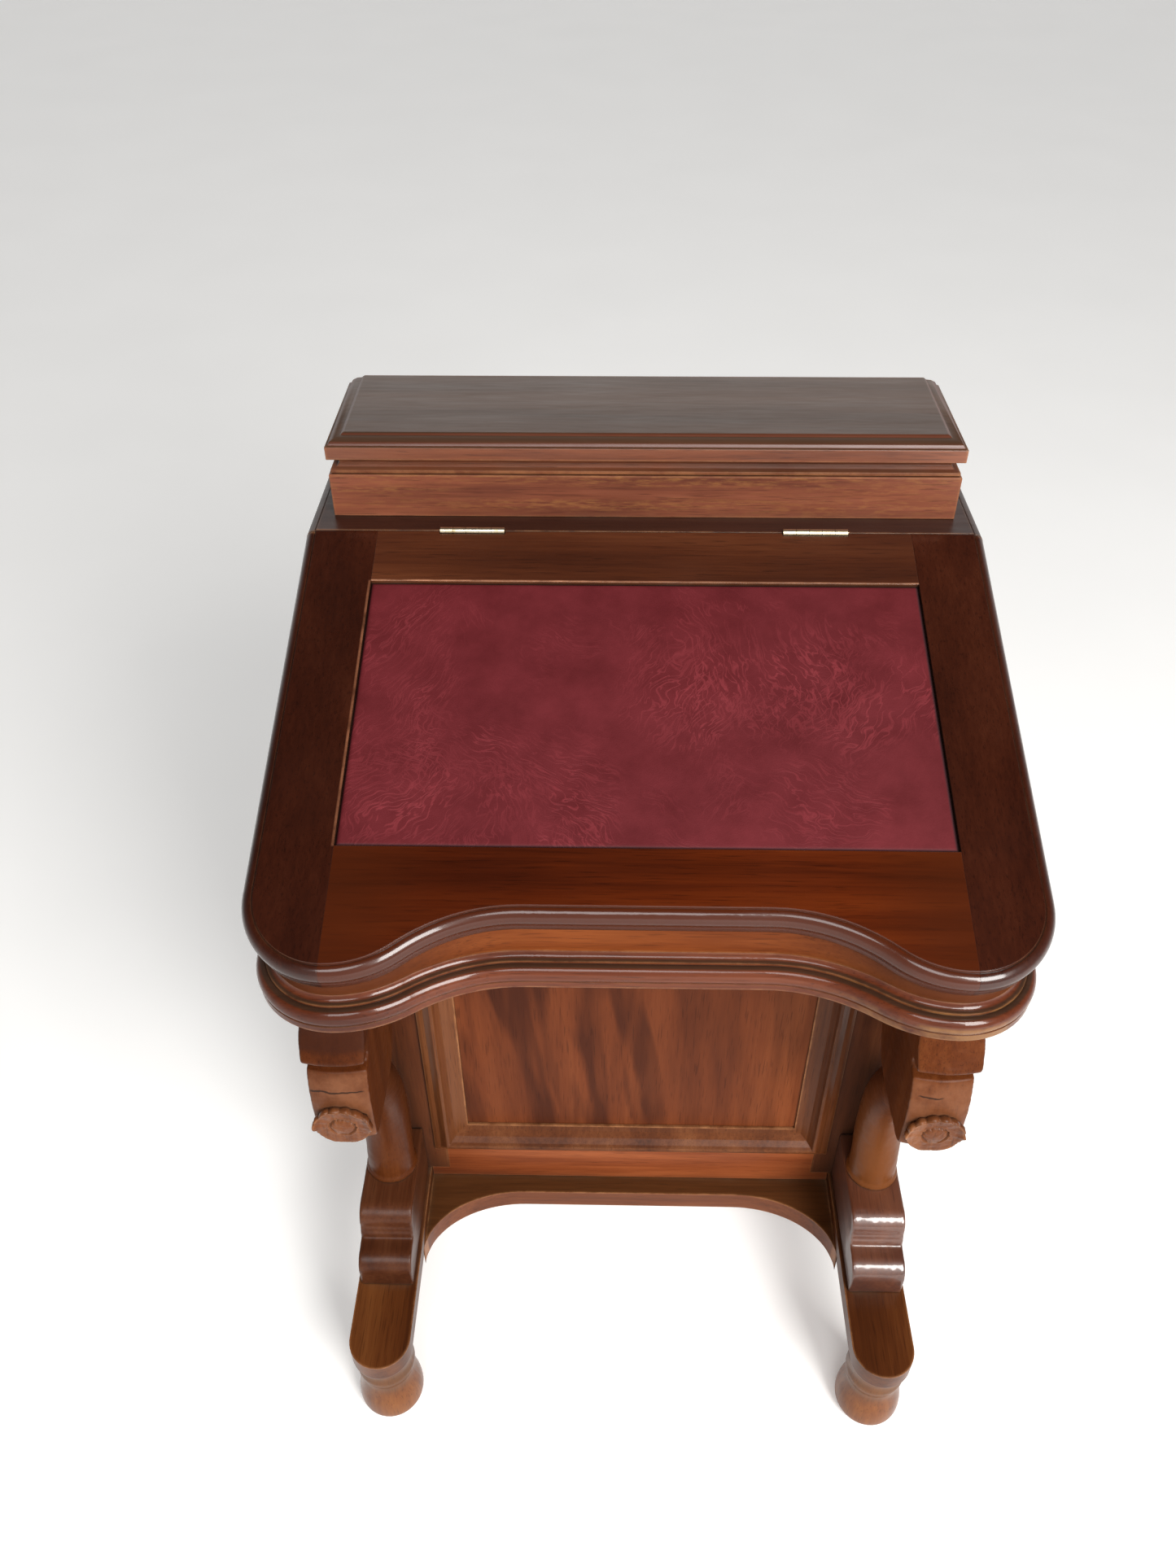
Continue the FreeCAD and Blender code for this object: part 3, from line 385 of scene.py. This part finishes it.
# ---- other materials ---------------------------------------------------------------------
def leather_material():
    """Antiqued burgundy leather: pebbled, with clusters of fine creases and worn clouds.

    Painted shade darkens it in the corners by the walls of its bed and more along its near and
    right edges.
    """
    g = Graph("burgundy_leather")
    warp = g.add("ShaderNodeTexNoise")
    g.link(g.place, warp.inputs["Vector"])
    warp.inputs["Scale"].default_value = 16.0
    warp.inputs["Detail"].default_value = 3.0
    shift = g.add("ShaderNodeVectorMath", operation="SCALE")
    g.link(warp.outputs["Color"], shift.inputs[0])
    shift.inputs["Scale"].default_value = 0.055
    bent = g.add("ShaderNodeVectorMath", operation="ADD")
    g.link(g.place, bent.inputs[0])
    g.link(shift.outputs[0], bent.inputs[1])
    bent = bent.outputs[0]

    creases = None
    for turn, move, stretch in ((0.5, 0.0, 6.0), (2.2, 4.0, 5.0), (1.2, 9.0, 4.5)):
        place = g.scaled(bent, (1, 1, 1), (0, 0, turn), (move, move, 0))
        wave = g.noise(g.scaled(place, (46.0, 46.0 * stretch, 60.0)), 1.0, 2.0, 0.5, 0.4)
        line = g.ramp(g.math("ABSOLUTE", g.math("SUBTRACT", wave, 0.5)), (0.0, 1.0), (0.050, 0.0))
        area = g.ramp(g.noise(g.scaled(place, (7, 7, 7)), 1.0, 3.0, 0.6), (0.53, 0.0), (0.68, 1.0))
        part = g.math("MULTIPLY", line, area)
        creases = part if creases is None else g.math("MAXIMUM", creases, part)
    pebble = g.voronoi(g.place, 700.0)
    mottle = g.noise(g.place, 30.0, 5.0, 0.62)
    broad = g.noise(g.place, 6.0, 3.0)

    colour = g.ramp(mottle, (0.28, (0.082, 0.0075, 0.0098)), (0.72, (0.124, 0.0115, 0.0158)))
    shade = g.ramp(broad, (0.30, 0.90), (0.70, 1.08))
    colour = g.mix(1.0, colour, shade, "MULTIPLY")
    colour = g.mix(g.math("MULTIPLY", creases, 0.55), colour, (0.250, 0.0400, 0.0480))
    # painted shade: the sheet darkened in the corners where it meets the walls of its bed
    dirt_and_shade = g.ramp(g.crevice(0.006), (0.30, 0.0), (0.75, 0.8))
    colour = g.mix(dirt_and_shade, colour, (0.030, 0.005, 0.006))
    # painted shade: darker still along the near and right edges, shaded by the bed's walls; these
    # edges are also rougher
    edge_shade = g.math("MAXIMUM", g.between(g.axis("Y"), -0.1575, -0.1596),
                    g.between(g.axis("X"), 0.2065, 0.2085))
    colour = g.mix(g.math("MULTIPLY", edge_shade, 0.85), colour, (0.022, 0.005, 0.007))
    rough = g.math("SUBTRACT", g.ramp(mottle, (0.3, 0.50), (0.7, 0.62)),
                   g.math("MULTIPLY", creases, 0.14))
    rough = g.math("ADD", rough, g.math("MULTIPLY", edge_shade, 0.35))
    g.set(Base_Color=colour, Roughness=rough, IOR=1.45, Specular_IOR_Level=0.38)
    g.bump((pebble, 0.10, 0.0004), (creases, 0.25, 0.0005), (mottle, 0.18, 0.0008))
    return g.material


def brass_material():
    g = Graph("brass_hinge")
    stain = g.noise(g.place, 120.0, 5.0, 0.65)
    colour = g.ramp(stain, (0.30, (0.50, 0.38, 0.21)), (0.60, (0.86, 0.76, 0.56)))
    colour = g.mix(g.math("MULTIPLY", g.crevice(0.003), 0.8), colour, (0.10, 0.06, 0.03))
    rough = g.ramp(stain, (0.3, 0.42), (0.7, 0.24))
    scratch = g.noise(g.scaled(g.place, (60.0, 1500.0, 1500.0)), 1.0, 2.0)
    g.set(Base_Color=colour, Roughness=rough, Metallic=1.0)
    g.bump((scratch, 0.10, 0.0003), (stain, 0.08, 0.0005))
    return g.material


def glass_material():
    g = Graph("bottle_glass")
    swirl = g.noise(g.scaled(g.place, (40.0, 40.0, 14.0)), 1.0, 3.0)
    colour = g.ramp(swirl, (0.3, (0.80, 0.90, 0.86)), (0.7, (0.92, 0.97, 0.95)))
    g.set(Base_Color=colour, Roughness=g.ramp(swirl, (0.3, 0.02), (0.7, 0.06)), IOR=1.5,
          Transmission_Weight=1.0)
    g.bump((swirl, 0.15, 0.001))
    return g.material


def floor_material():
    g = Graph("pale_floor")
    grain = g.noise(g.place, 3.0, 4.0)
    pale = g.ramp(grain, (0.3, (0.86, 0.855, 0.845)), (0.7, (0.88, 0.875, 0.865)))
    g.set(Base_Color=pale, Roughness=0.9, Specular_IOR_Level=0.2, Emission_Color=pale,
          Emission_Strength=0.28)
    return g.material


# ---- floor, light and camera ------------------------------------------------------------
FLOOR_HALF = 14.0


def make_floor():
    mesh = bpy.data.meshes.new("floor")
    corners = [(x * FLOOR_HALF, y * FLOOR_HALF, 0) for x, y in ((-1, -1), (1, -1), (1, 1), (-1, 1))]
    mesh.from_pydata(corners, [], [(0, 1, 2, 3)])
    floor = bpy.data.objects.new("floor", mesh)
    bpy.context.scene.collection.objects.link(floor)
    floor.data.materials.append(floor_material())


def place_lamp(lamp, direction, place=(0, 0, 0)):
    holder = bpy.data.objects.new(lamp.name, lamp)
    holder.location = place
    holder.rotation_mode = "QUATERNION"
    holder.rotation_quaternion = direction.to_track_quat("-Z", "Y")
    bpy.context.scene.collection.objects.link(holder)


# Radiance of the room against the sine of the height above the horizon, all round, and
# of its brighter walls: the axis and side they are on, how narrow they are, and how bright.
ROOM = ((0.0, 0.34), (0.35, 0.22), (0.65, 0.06), (0.90, 0.04))
WALLS = (
    ("Y", -1.0, 1.5, 0.38, ((0.0, 1.0), (0.35, 0.8), (0.60, 0.2), (0.80, 0.0))),
    ("Y", 1.0, 3.0, 1.35, ((0.0, 0.7), (0.30, 1.0), (0.60, 0.5), (0.80, 0.0))),
)


def make_world():
    """A dim ceiling over soft walls, brighter in front of the desk and behind it."""
    world = bpy.data.worlds.new("studio")
    world.use_nodes = True
    tree = world.node_tree
    split = tree.nodes.new("ShaderNodeSeparateXYZ")
    tree.links.new(tree.nodes.new("ShaderNodeTexCoord").outputs["Generated"], split.inputs[0])

    def combine(operation, a, b, clamp=False):
        node = tree.nodes.new("ShaderNodeMath")
        node.operation = operation
        node.use_clamp = clamp
        for socket, value in zip(node.inputs, (a, b)):
            if isinstance(value, float):
                socket.default_value = value
            else:
                tree.links.new(value, socket)
        return node.outputs[0]

    def by_height(stops):
        node = tree.nodes.new("ShaderNodeValToRGB")
        band = node.color_ramp
        while len(band.elements) < len(stops):
            band.elements.new(0.5)
        for element, (position, value) in zip(band.elements, stops):
            element.position = position
            element.color = (value, value, value, 1.0)
        tree.links.new(split.outputs["Z"], node.inputs["Fac"])
        return node.outputs["Color"]

    total = by_height(ROOM)
    for axis, side, narrowness, strength, stops in WALLS:
        facing = combine("MULTIPLY", split.outputs[axis], side, True)
        wall = combine("MULTIPLY", combine("POWER", facing, narrowness), by_height(stops))
        total = combine("ADD", total, combine("MULTIPLY", wall, strength))
    back = tree.nodes["Background"]
    back.inputs["Color"].default_value = (1.0, 0.985, 0.965, 1.0)
    tree.links.new(total, back.inputs["Strength"])
    bpy.context.scene.world = world


WINDOW_PLACE = Vector((1.25, -2.15, 2.10))
WINDOW_AIM = Vector((0.0, -0.1, 0.45))
SKY_DIRECTION = Vector((0.10, 0.78, -0.72))


def make_lights():
    """A window over the right shoulder and soft sky light from the front."""
    make_world()
    window = bpy.data.lights.new("window", "AREA")
    window.shape = "RECTANGLE"
    window.size, window.size_y = 1.1, 1.7
    window.energy = 130.0
    window.color = (1.0, 0.985, 0.96)
    place_lamp(window, WINDOW_AIM - WINDOW_PLACE, WINDOW_PLACE)
    sky = bpy.data.lights.new("sky", "SUN")
    sky.energy = 1.1
    sky.angle = math.radians(25)
    place_lamp(sky, SKY_DIRECTION)


# The photo's camera, solved from the desk's straight edges.
CAMERA_PLACE = (-0.0253, -0.7607, 1.2728)
CAMERA_PITCH, CAMERA_YAW, CAMERA_ROLL = 41.11, -1.28, -0.29
LENS_MM, SENSOR_MM = 28.55, 36.0


def make_camera():
    pitch, yaw, roll = (math.radians(v) for v in (CAMERA_PITCH, CAMERA_YAW, CAMERA_ROLL))
    forward = Vector((math.sin(yaw) * math.cos(pitch), math.cos(yaw) * math.cos(pitch),
                      -math.sin(pitch)))
    level = Vector((math.cos(yaw), -math.sin(yaw), 0))
    up = level.cross(forward)
    right = level * math.cos(roll) + up * math.sin(roll)
    up = right.cross(forward)
    data = bpy.data.cameras.new("camera")
    data.sensor_fit = "AUTO"
    data.sensor_width = SENSOR_MM
    data.lens = LENS_MM
    data.clip_start = 0.05
    camera = bpy.data.objects.new("camera", data)
    turn = Matrix((right, up, -forward)).transposed().to_4x4()
    camera.matrix_world = Matrix.Translation(CAMERA_PLACE) @ turn
    bpy.context.scene.collection.objects.link(camera)
    bpy.context.scene.camera = camera


# ---- dressing CAD pieces -------------------------------------------------------------------
def dress(node, material, soften):
    """Give a CAD piece its material and ease its arrises by soften metres."""
    piece = NODES[node]
    piece.data.materials.clear()
    piece.data.materials.append(material)
    if soften > 0:
        weld = piece.modifiers.new("weld", "WELD")
        weld.merge_threshold = MERGE
        bevel = piece.modifiers.new("ease", "BEVEL")
        bevel.width = soften
        bevel.segments = 2
        bevel.limit_method = "ANGLE"
        bevel.angle_limit = math.radians(35)
        bevel.use_clamp_overlap = True
        smooth = piece.modifiers.new("even", "WEIGHTED_NORMAL")
        smooth.keep_sharp = False


def dress_all():
    """Every CAD node that is shown as it is, with its material and eased arrises."""
    box_lid = wood("mahogany_box_lid", "X", (0.150, 0.044, 0.018), 1.0, film=0.95, shine=0.5,
                   film_colour=(0.056, 0.027, 0.014), wear=0.7, details=lid_marks)
    box_rim = wood("mahogany_box_rim", "X", (0.130, 0.038, 0.016), 1.5, dust=0.4)
    box_x = wood("mahogany_box", "X", (0.165, 0.049, 0.025), 2.0, flecks=0.45, figure=1.1)
    box_y = wood("mahogany_box_side", "Y", (0.110, 0.032, 0.013), 2.5)
    ledge = wood("mahogany_ledge", "X", (0.030, 0.008, 0.004), 3.0, shine=0.4)
    stile = wood("mahogany_stile", "Y", (0.033, 0.0066, 0.0024), 4.0, shine=0.25, coat=0.55,
                 gloss=0.24, figure=0.7, joint=JOINT_X, details=stile_marks)
    rail_top = wood("mahogany_rail_back", "X", (0.062, 0.0150, 0.0048), 5.0, shine=0.5,
                    figure=0.9, coat=0.1, joint=JOINT_X, details=rail_marks)
    rail_front = wood("mahogany_rail_front", "X", (0.068, 0.0098, 0.0013), 6.0, shine=0.20,
                      coat=0.55, gloss=0.24, figure=1.5, joint=JOINT_X, details=front_marks)
    case_x = wood("mahogany_case", "X", (0.128, 0.029, 0.006), 7.0, shine=0.06, dust=0.5,
                  details=band_marks)
    case_y = wood("mahogany_case_side", "Y", (0.100, 0.027, 0.010), 7.5)
    mould = wood("mahogany_moulding", "X", (0.075, 0.0160, 0.0052), 8.0, shine=0.10, coat=0.5,
                 gloss=0.26, dust=0.3, figure=0.8, film=0.8, film_colour=(0.026, 0.016, 0.010),
                 details=base_marks)
    # painted shade darkens the wide corners of the uprights and, less, of the rails
    upright = wood("mahogany_upright", "Z", (0.105, 0.028, 0.009), 9.0, shine=0.12, wide_shade=0.8)
    cross = wood("mahogany_cross", "X", (0.180, 0.043, 0.013), 10.0, shine=0.08, figure=1.4,
                 wide_shade=0.3)
    panel = wood("mahogany_panel", "Z", (0.126, 0.031, 0.0095), 11.0, shine=0.06, streaks=0.85,
                 gloss=0.38, figure=0.6, plain=0.5)
    bead = wood("mahogany_bead", "Z", (0.095, 0.028, 0.009), 12.0, shine=0.10, wear=1.0, dust=0.3)
    board = wood("mahogany_board", "X", (0.110, 0.029, 0.008), 13.0, shine=0.12, wear=0.9,
                 dust=0.5, film=0.6, film_colour=(0.040, 0.020, 0.007))
    base = wood("mahogany_base", "Y", (0.090, 0.025, 0.006), 14.0, shine=0.20, wear=1.0, dust=0.6,
                figure=1.5)
    foot = wood("mahogany_foot", "Z", (0.155, 0.046, 0.009), 15.0, shine=0.06, wear=0.6, dust=0.4,
                coat=0.6, details=foot_marks)
    drawer = wood("mahogany_drawer", "Y", (0.110, 0.030, 0.010), 16.0, flecks=0.3)
    knob = wood("mahogany_knob", "X", (0.080, 0.020, 0.008), 17.0, shine=0.4)
    lining = wood("pale_lining", "X", PALE, 18.0, gloss=0.5, wear=0.1)
    bed = wood("mahogany_bed", "X", (0.050, 0.013, 0.006), 20.0, wear=0.1)
    brass = brass_material()
    plan = {
        "box_lid_board": (box_lid, 0.0004), "box_lid_rim": (box_rim, 0.0003),
        "box_front": (box_x, 0.0006), "box_back": (box_x, 0.0006),
        "box_sides": (box_y, 0.0006), "ledge": (ledge, 0.0),
        "lid_rail_top": (rail_top, 0.0004), "lid_rail_front": (rail_front, 0.0),
        "lid_stile_left": (stile, 0.0), "lid_stile_right": (stile, 0.0),
        "lid_panel": (bed, 0.0), "case_front": (case_x, 0.0),
        "case_side_left": (case_y, 0.0), "case_side_right": (case_y, 0.0),
        "case_back": (case_x, 0.0005), "case_floor": (lining, 0.0),
        "base_moulding": (mould, 0.0), "front_stiles": (upright, 0.0006),
        "front_rails": (cross, 0.0006), "knee_panel": (panel, 0.0),
        "knee_moulding": (bead, 0.0), "side_frame_left": (upright, 0.0006),
        "side_frame_right": (upright, 0.0006), "back_panel": (panel, 0.0006),
        "dust_boards": (lining, 0.0004), "platform": (board, 0.001),
        "sledge_left": (base, 0.001), "sledge_right": (base, 0.001),
        "bun_feet": (foot, 0.0), "dummy_fronts": (drawer, 0.0), "dummy_knobs": (knob, 0.0),
        "well_fittings": (lining, 0.0004), "inner_drawer_left": (lining, 0.0004),
        "inner_drawer_right": (lining, 0.0004), "box_fittings": (lining, 0.0),
        "slope_hinge_fixed": (brass, 0.0), "slope_hinge_moving": (brass, 0.0),
        "box_hinge_fixed": (brass, 0.0), "box_hinge_moving": (brass, 0.0),
        "bottle_caps": (brass, 0.0), "ink_bottles": (glass_material(), 0.0),
    }
    for i in range(1, 5):
        plan["drawer_%d_box" % i] = (lining, 0.0004)
        plan["drawer_%d_front" % i] = (drawer, 0.0)
        plan["drawer_%d_knobs" % i] = (knob, 0.0)
    for node, (material, soften) in plan.items():
        dress(node, material, soften)


# ---- carved pieces -------------------------------------------------------------------------
def place_piece(name, mesh, material, body, node):
    """Stand a finer mesh in for a CAD node, on the same body."""
    mesh.materials.clear()
    mesh.materials.append(material)
    mesh.shade_smooth()
    piece = bpy.data.objects.new(name, mesh)
    bpy.context.scene.collection.objects.link(piece)
    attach(piece, body)
    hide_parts(node)


def rounded_copy(node, voxel, rounds):
    """The CAD piece's shape as one even fine mesh with its edges worn round."""
    piece = bpy.data.objects.new("work", NODES[node].data.copy())
    bpy.context.scene.collection.objects.link(piece)
    weld = piece.modifiers.new("weld", "WELD")
    weld.merge_threshold = MERGE
    remesh = piece.modifiers.new("even", "REMESH")
    remesh.mode = "VOXEL"
    remesh.voxel_size = voxel
    smooth = piece.modifiers.new("worn", "SMOOTH")
    smooth.factor = 0.5
    smooth.iterations = rounds
    graph = bpy.context.evaluated_depsgraph_get()
    mesh = bpy.data.meshes.new_from_object(piece.evaluated_get(graph))
    bpy.data.objects.remove(piece)
    return mesh


def read_points(mesh):
    flat = np.empty(len(mesh.vertices) * 3)
    mesh.vertices.foreach_get("co", flat)
    return flat.reshape(-1, 3)


def read_normals(mesh):
    flat = np.empty(len(mesh.vertices) * 3)
    mesh.vertices.foreach_get("normal", flat)
    return flat.reshape(-1, 3)


def write_points(mesh, points):
    mesh.vertices.foreach_set("co", points.ravel())
    mesh.update()


def noise_at(points, scale, shift):
    return np.array([noise.noise(Vector(p) * scale + Vector((shift, shift, shift)))
                     for p in points])


def ease(value, low, high):
    t = np.clip((value - low) / (high - low), 0.0, 1.0)
    return t * t * (3.0 - 2.0 * t)


def carve(mesh, depth, fine):
    """Push the surface in and out a little, as hand tools and wear leave it."""
    points = read_points(mesh)
    push = depth * noise_at(points, 45.0, 0.0) + fine * noise_at(points, 170.0, 7.0)
    write_points(mesh, points + read_normals(mesh) * push[:, None])


CROWN = 0.0032             # how far a scroll's face falls back at its sides
LEAN = 0.0050              # how far a cap leans inwards at its top
BULGE = 0.0016             # swelling of the cap's sides round its foot
CAP_FOOT, CAP_TOP = 0.508, 0.600


def make_supports(material):
    """The two scrolled supports with the crown, lean and swelling of hand work."""
    for side, x_side in (("left", -1), ("right", 1)):
        mesh = rounded_copy("support_%s" % side, 0.0015, 5)
        points = read_points(mesh)
        across = (points[:, 0] - x_side * HEAD_X) / HEAD_HALF
        front = ease(-points[:, 1], 0.150, 0.176) * ease(points[:, 2], 0.385, 0.395)
        points[:, 1] += CROWN * across ** 2 * front
        cap = ease(-points[:, 1], 0.080, 0.150)
        points[:, 0] -= x_side * LEAN * cap * ease(points[:, 2], 0.505, CAP_TOP)
        swell = np.exp(-((points[:, 2] - CAP_FOOT) / 0.016) ** 2)
        points[:, 0] += BULGE * np.sign(across) * cap * swell * ease(np.abs(across), 0.5, 0.95)
        write_points(mesh, points)
        carve(mesh, 0.00035, 0.00018)
        place_piece("scroll_support_%s" % side, mesh, material, "carcass",
                    "support_%s" % side)


def make_blocks(materials):
    for side, material in materials.items():
        mesh = rounded_copy("scroll_block_%s" % side, 0.0014, 8)
        carve(mesh, 0.00025, 0.00010)
        place_piece("stepped_block_%s" % side, mesh, material, "carcass",
                    "scroll_block_%s" % side)


BOSS, GROOVE, RING, RIM = 9.4, 10.6, 12.6, 23.4     # radii of the rosette, in millimetres
LOBES = 14


def rosette_height(r, lobe, leafy):
    """How far the carving stands out at radius r, in millimetres."""
    if r < BOSS:
        return 3.4 + 2.8 * math.sqrt(max(0.0, 1.0 - (r / 9.6) ** 2))
    if r < GROOVE:
        return 2.6
    if r < RING:
        return 2.6 + 1.9 * math.sin(math.pi * min(1.0, (r - GROOVE) / 2.6))
    rise = (r - RING) / (RIM - RING)
    return 4.1 + leafy * (2.8 * rise ** 1.6 + 0.8 * math.cos(lobe) * rise)


def make_rosette(name, x, seed, material):
    """A carved flower with a saw cut rim, a ring and a boss, facing the front."""
    rings = 46
    steps = 196
    middle = ROSETTE_Y - rosette_height(0.0, 0.0, 0.0) / 1000
    points = [(x, middle, ROSETTE_Z)]
    for i in range(1, rings + 1):
        part = i / rings
        for j in range(steps):
            turn = 2 * math.pi * j / steps
            ragged = noise.noise(Vector((3 * math.cos(turn), 3 * math.sin(turn), seed)))
            lobe = LOBES * turn + 1.6 * ragged
            leafy = ease(math.sin(turn), -0.45, 0.05)
            rim = 22.0 + leafy * (1.7 * abs(math.cos(lobe / 2)) + 0.9 * ragged)
            rim = min(rim, 20.5 / max(0.1, -math.sin(turn)))
            r = rim * part
            height = rosette_height(r * RIM / rim, lobe, leafy)
            spot = Vector((r * math.cos(turn), r * math.sin(turn), seed * 10))
            height += 0.45 * noise.noise(spot * 0.22) + 0.20 * noise.noise(spot * 0.7)
            points.append((x + r * math.cos(turn) / 1000,
                           ROSETTE_Y - height / 1000,
                           ROSETTE_Z + r * math.sin(turn) / 1000))
    for depth, grow in ((2.2, 0.2), (-2.0, -2.4)):
        for j in range(steps):
            turn = 2 * math.pi * j / steps
            edge = points[1 + (rings - 1) * steps + j]
            points.append((edge[0] + grow * math.cos(turn) / 1000, ROSETTE_Y - depth / 1000,
                           edge[2] + grow * math.sin(turn) / 1000))
    last = 1 + (rings + 1) * steps
    faces = [tuple(reversed(range(last, last + steps)))]
    for j in range(steps):
        k = (j + 1) % steps
        faces.append((0, 1 + j, 1 + k))
        for start in range(1, last, steps):
            faces.append((start + j, start + steps + j, start + steps + k, start + k))
    mesh = bpy.data.meshes.new(name)
    mesh.from_pydata(points, [], faces)
    mesh.update()
    place_piece(name, mesh, material, "carcass", "rosettes")


def on_slope(x, s, height):
    """The place s metres down the writing slope from its hinges and height above it."""
    return (x, HINGE_Y - s * math.cos(SLOPE) - height * math.sin(SLOPE),
            LEDGE_TOP - s * math.sin(SLOPE) + height * math.cos(SLOPE))


SHEET_X = 0.2095                       # half the leather's width
SHEET_BACK, SHEET_FRONT = 0.0523, 0.2830     # its far and near edges, down from the hinges
SHEET_UNDER = -0.0041                  # its levels against the lid's face
SHEET_EDGE = -0.0031
ROLL_HEIGHT, ROLL_WIDTH = 0.0012, 0.0022


def make_leather():
    """The writing sheet, lying in its bed and rolled down a little along its edges."""
    across, down = 240, 140
    spots = [(SHEET_X * (2 * j / across - 1), SHEET_BACK + (SHEET_FRONT - SHEET_BACK) * i / down)
             for i in range(down + 1) for j in range(across + 1)]
    points = []
    for x, s in spots:
        edge = min(s - SHEET_BACK, SHEET_FRONT - s, SHEET_X - abs(x))
        height = SHEET_EDGE + ROLL_HEIGHT * min(1.0, max(0.0, edge) / ROLL_WIDTH) ** 0.5
        height += 0.00016 * noise.noise(Vector((x * 30, s * 30, 0.5)))
        height += 0.00005 * noise.noise(Vector((x * 160, s * 160, 3.5)))
        points.append(on_slope(x, s, height))
    row = across + 1
    faces = [(i * row + j, (i + 1) * row + j, (i + 1) * row + j + 1, i * row + j + 1)
             for i in range(down) for j in range(across)]

    far, near = list(range(row)), list(range(down * row, down * row + row))
    left = [i * row for i in range(down + 1)]
    right = [first + across for first in left]
    rim = far + right[1:] + near[-2::-1] + left[-2:0:-1]
    under = {top: len(points) + k for k, top in enumerate(rim)}
    points += [on_slope(*spots[top], SHEET_UNDER) for top in rim]
    for a, b in zip(rim, rim[1:] + rim[:1]):
        faces.append((a, b, under[b], under[a]))
    for i in range(down):
        upper = far if i == 0 else [left[i], right[i]]
        lower = near if i == down - 1 else [left[i + 1], right[i + 1]]
        faces.append(tuple(under[top] for top in upper + lower[::-1]))
    mesh = bpy.data.meshes.new("leather_sheet")
    mesh.from_pydata(points, [], faces)
    mesh.update()
    place_piece("leather_sheet", mesh, leather_material(), "writing_lid", "leather")


def make_carvings():
    """The finer pieces that replace CAD nodes: supports, blocks, rosettes and leather."""
    carved = wood("mahogany_carved", "Z", (0.085, 0.021, 0.005), 21.0, shine=0.08, wear=0.35,
                  dust=0.5, details=support_marks)
    # lit and shaded copies of one block wood: painted shade makes the left block darker, painted
    # light makes the right one lighter, and the right one is given more shine
    block_in_painted_shade = wood("mahogany_block_painted_shade", "Y", (0.066, 0.019, 0.007), 22.0, shine=0.2, wear=0.5)
    block_in_painted_light = wood("mahogany_block_painted_light", "Y", (0.080, 0.022, 0.009), 22.0, shine=0.55, wear=0.3,
                  coat=0.9, gloss=0.42)
    flower = wood("mahogany_flower", "Z", (0.125, 0.038, 0.012), 23.0, shine=0.15, wear=0.5,
                  dust=0.6)
    make_supports(carved)
    make_blocks({"left": block_in_painted_shade, "right": block_in_painted_light})
    make_rosette("rosette_left", -HEAD_X, 1.0, flower)
    make_rosette("rosette_right", HEAD_X, 2.0, flower)
    make_leather()


dress_all()
make_carvings()
make_floor()
make_lights()
make_camera()
bpy.context.scene.view_settings.view_transform = "Standard"
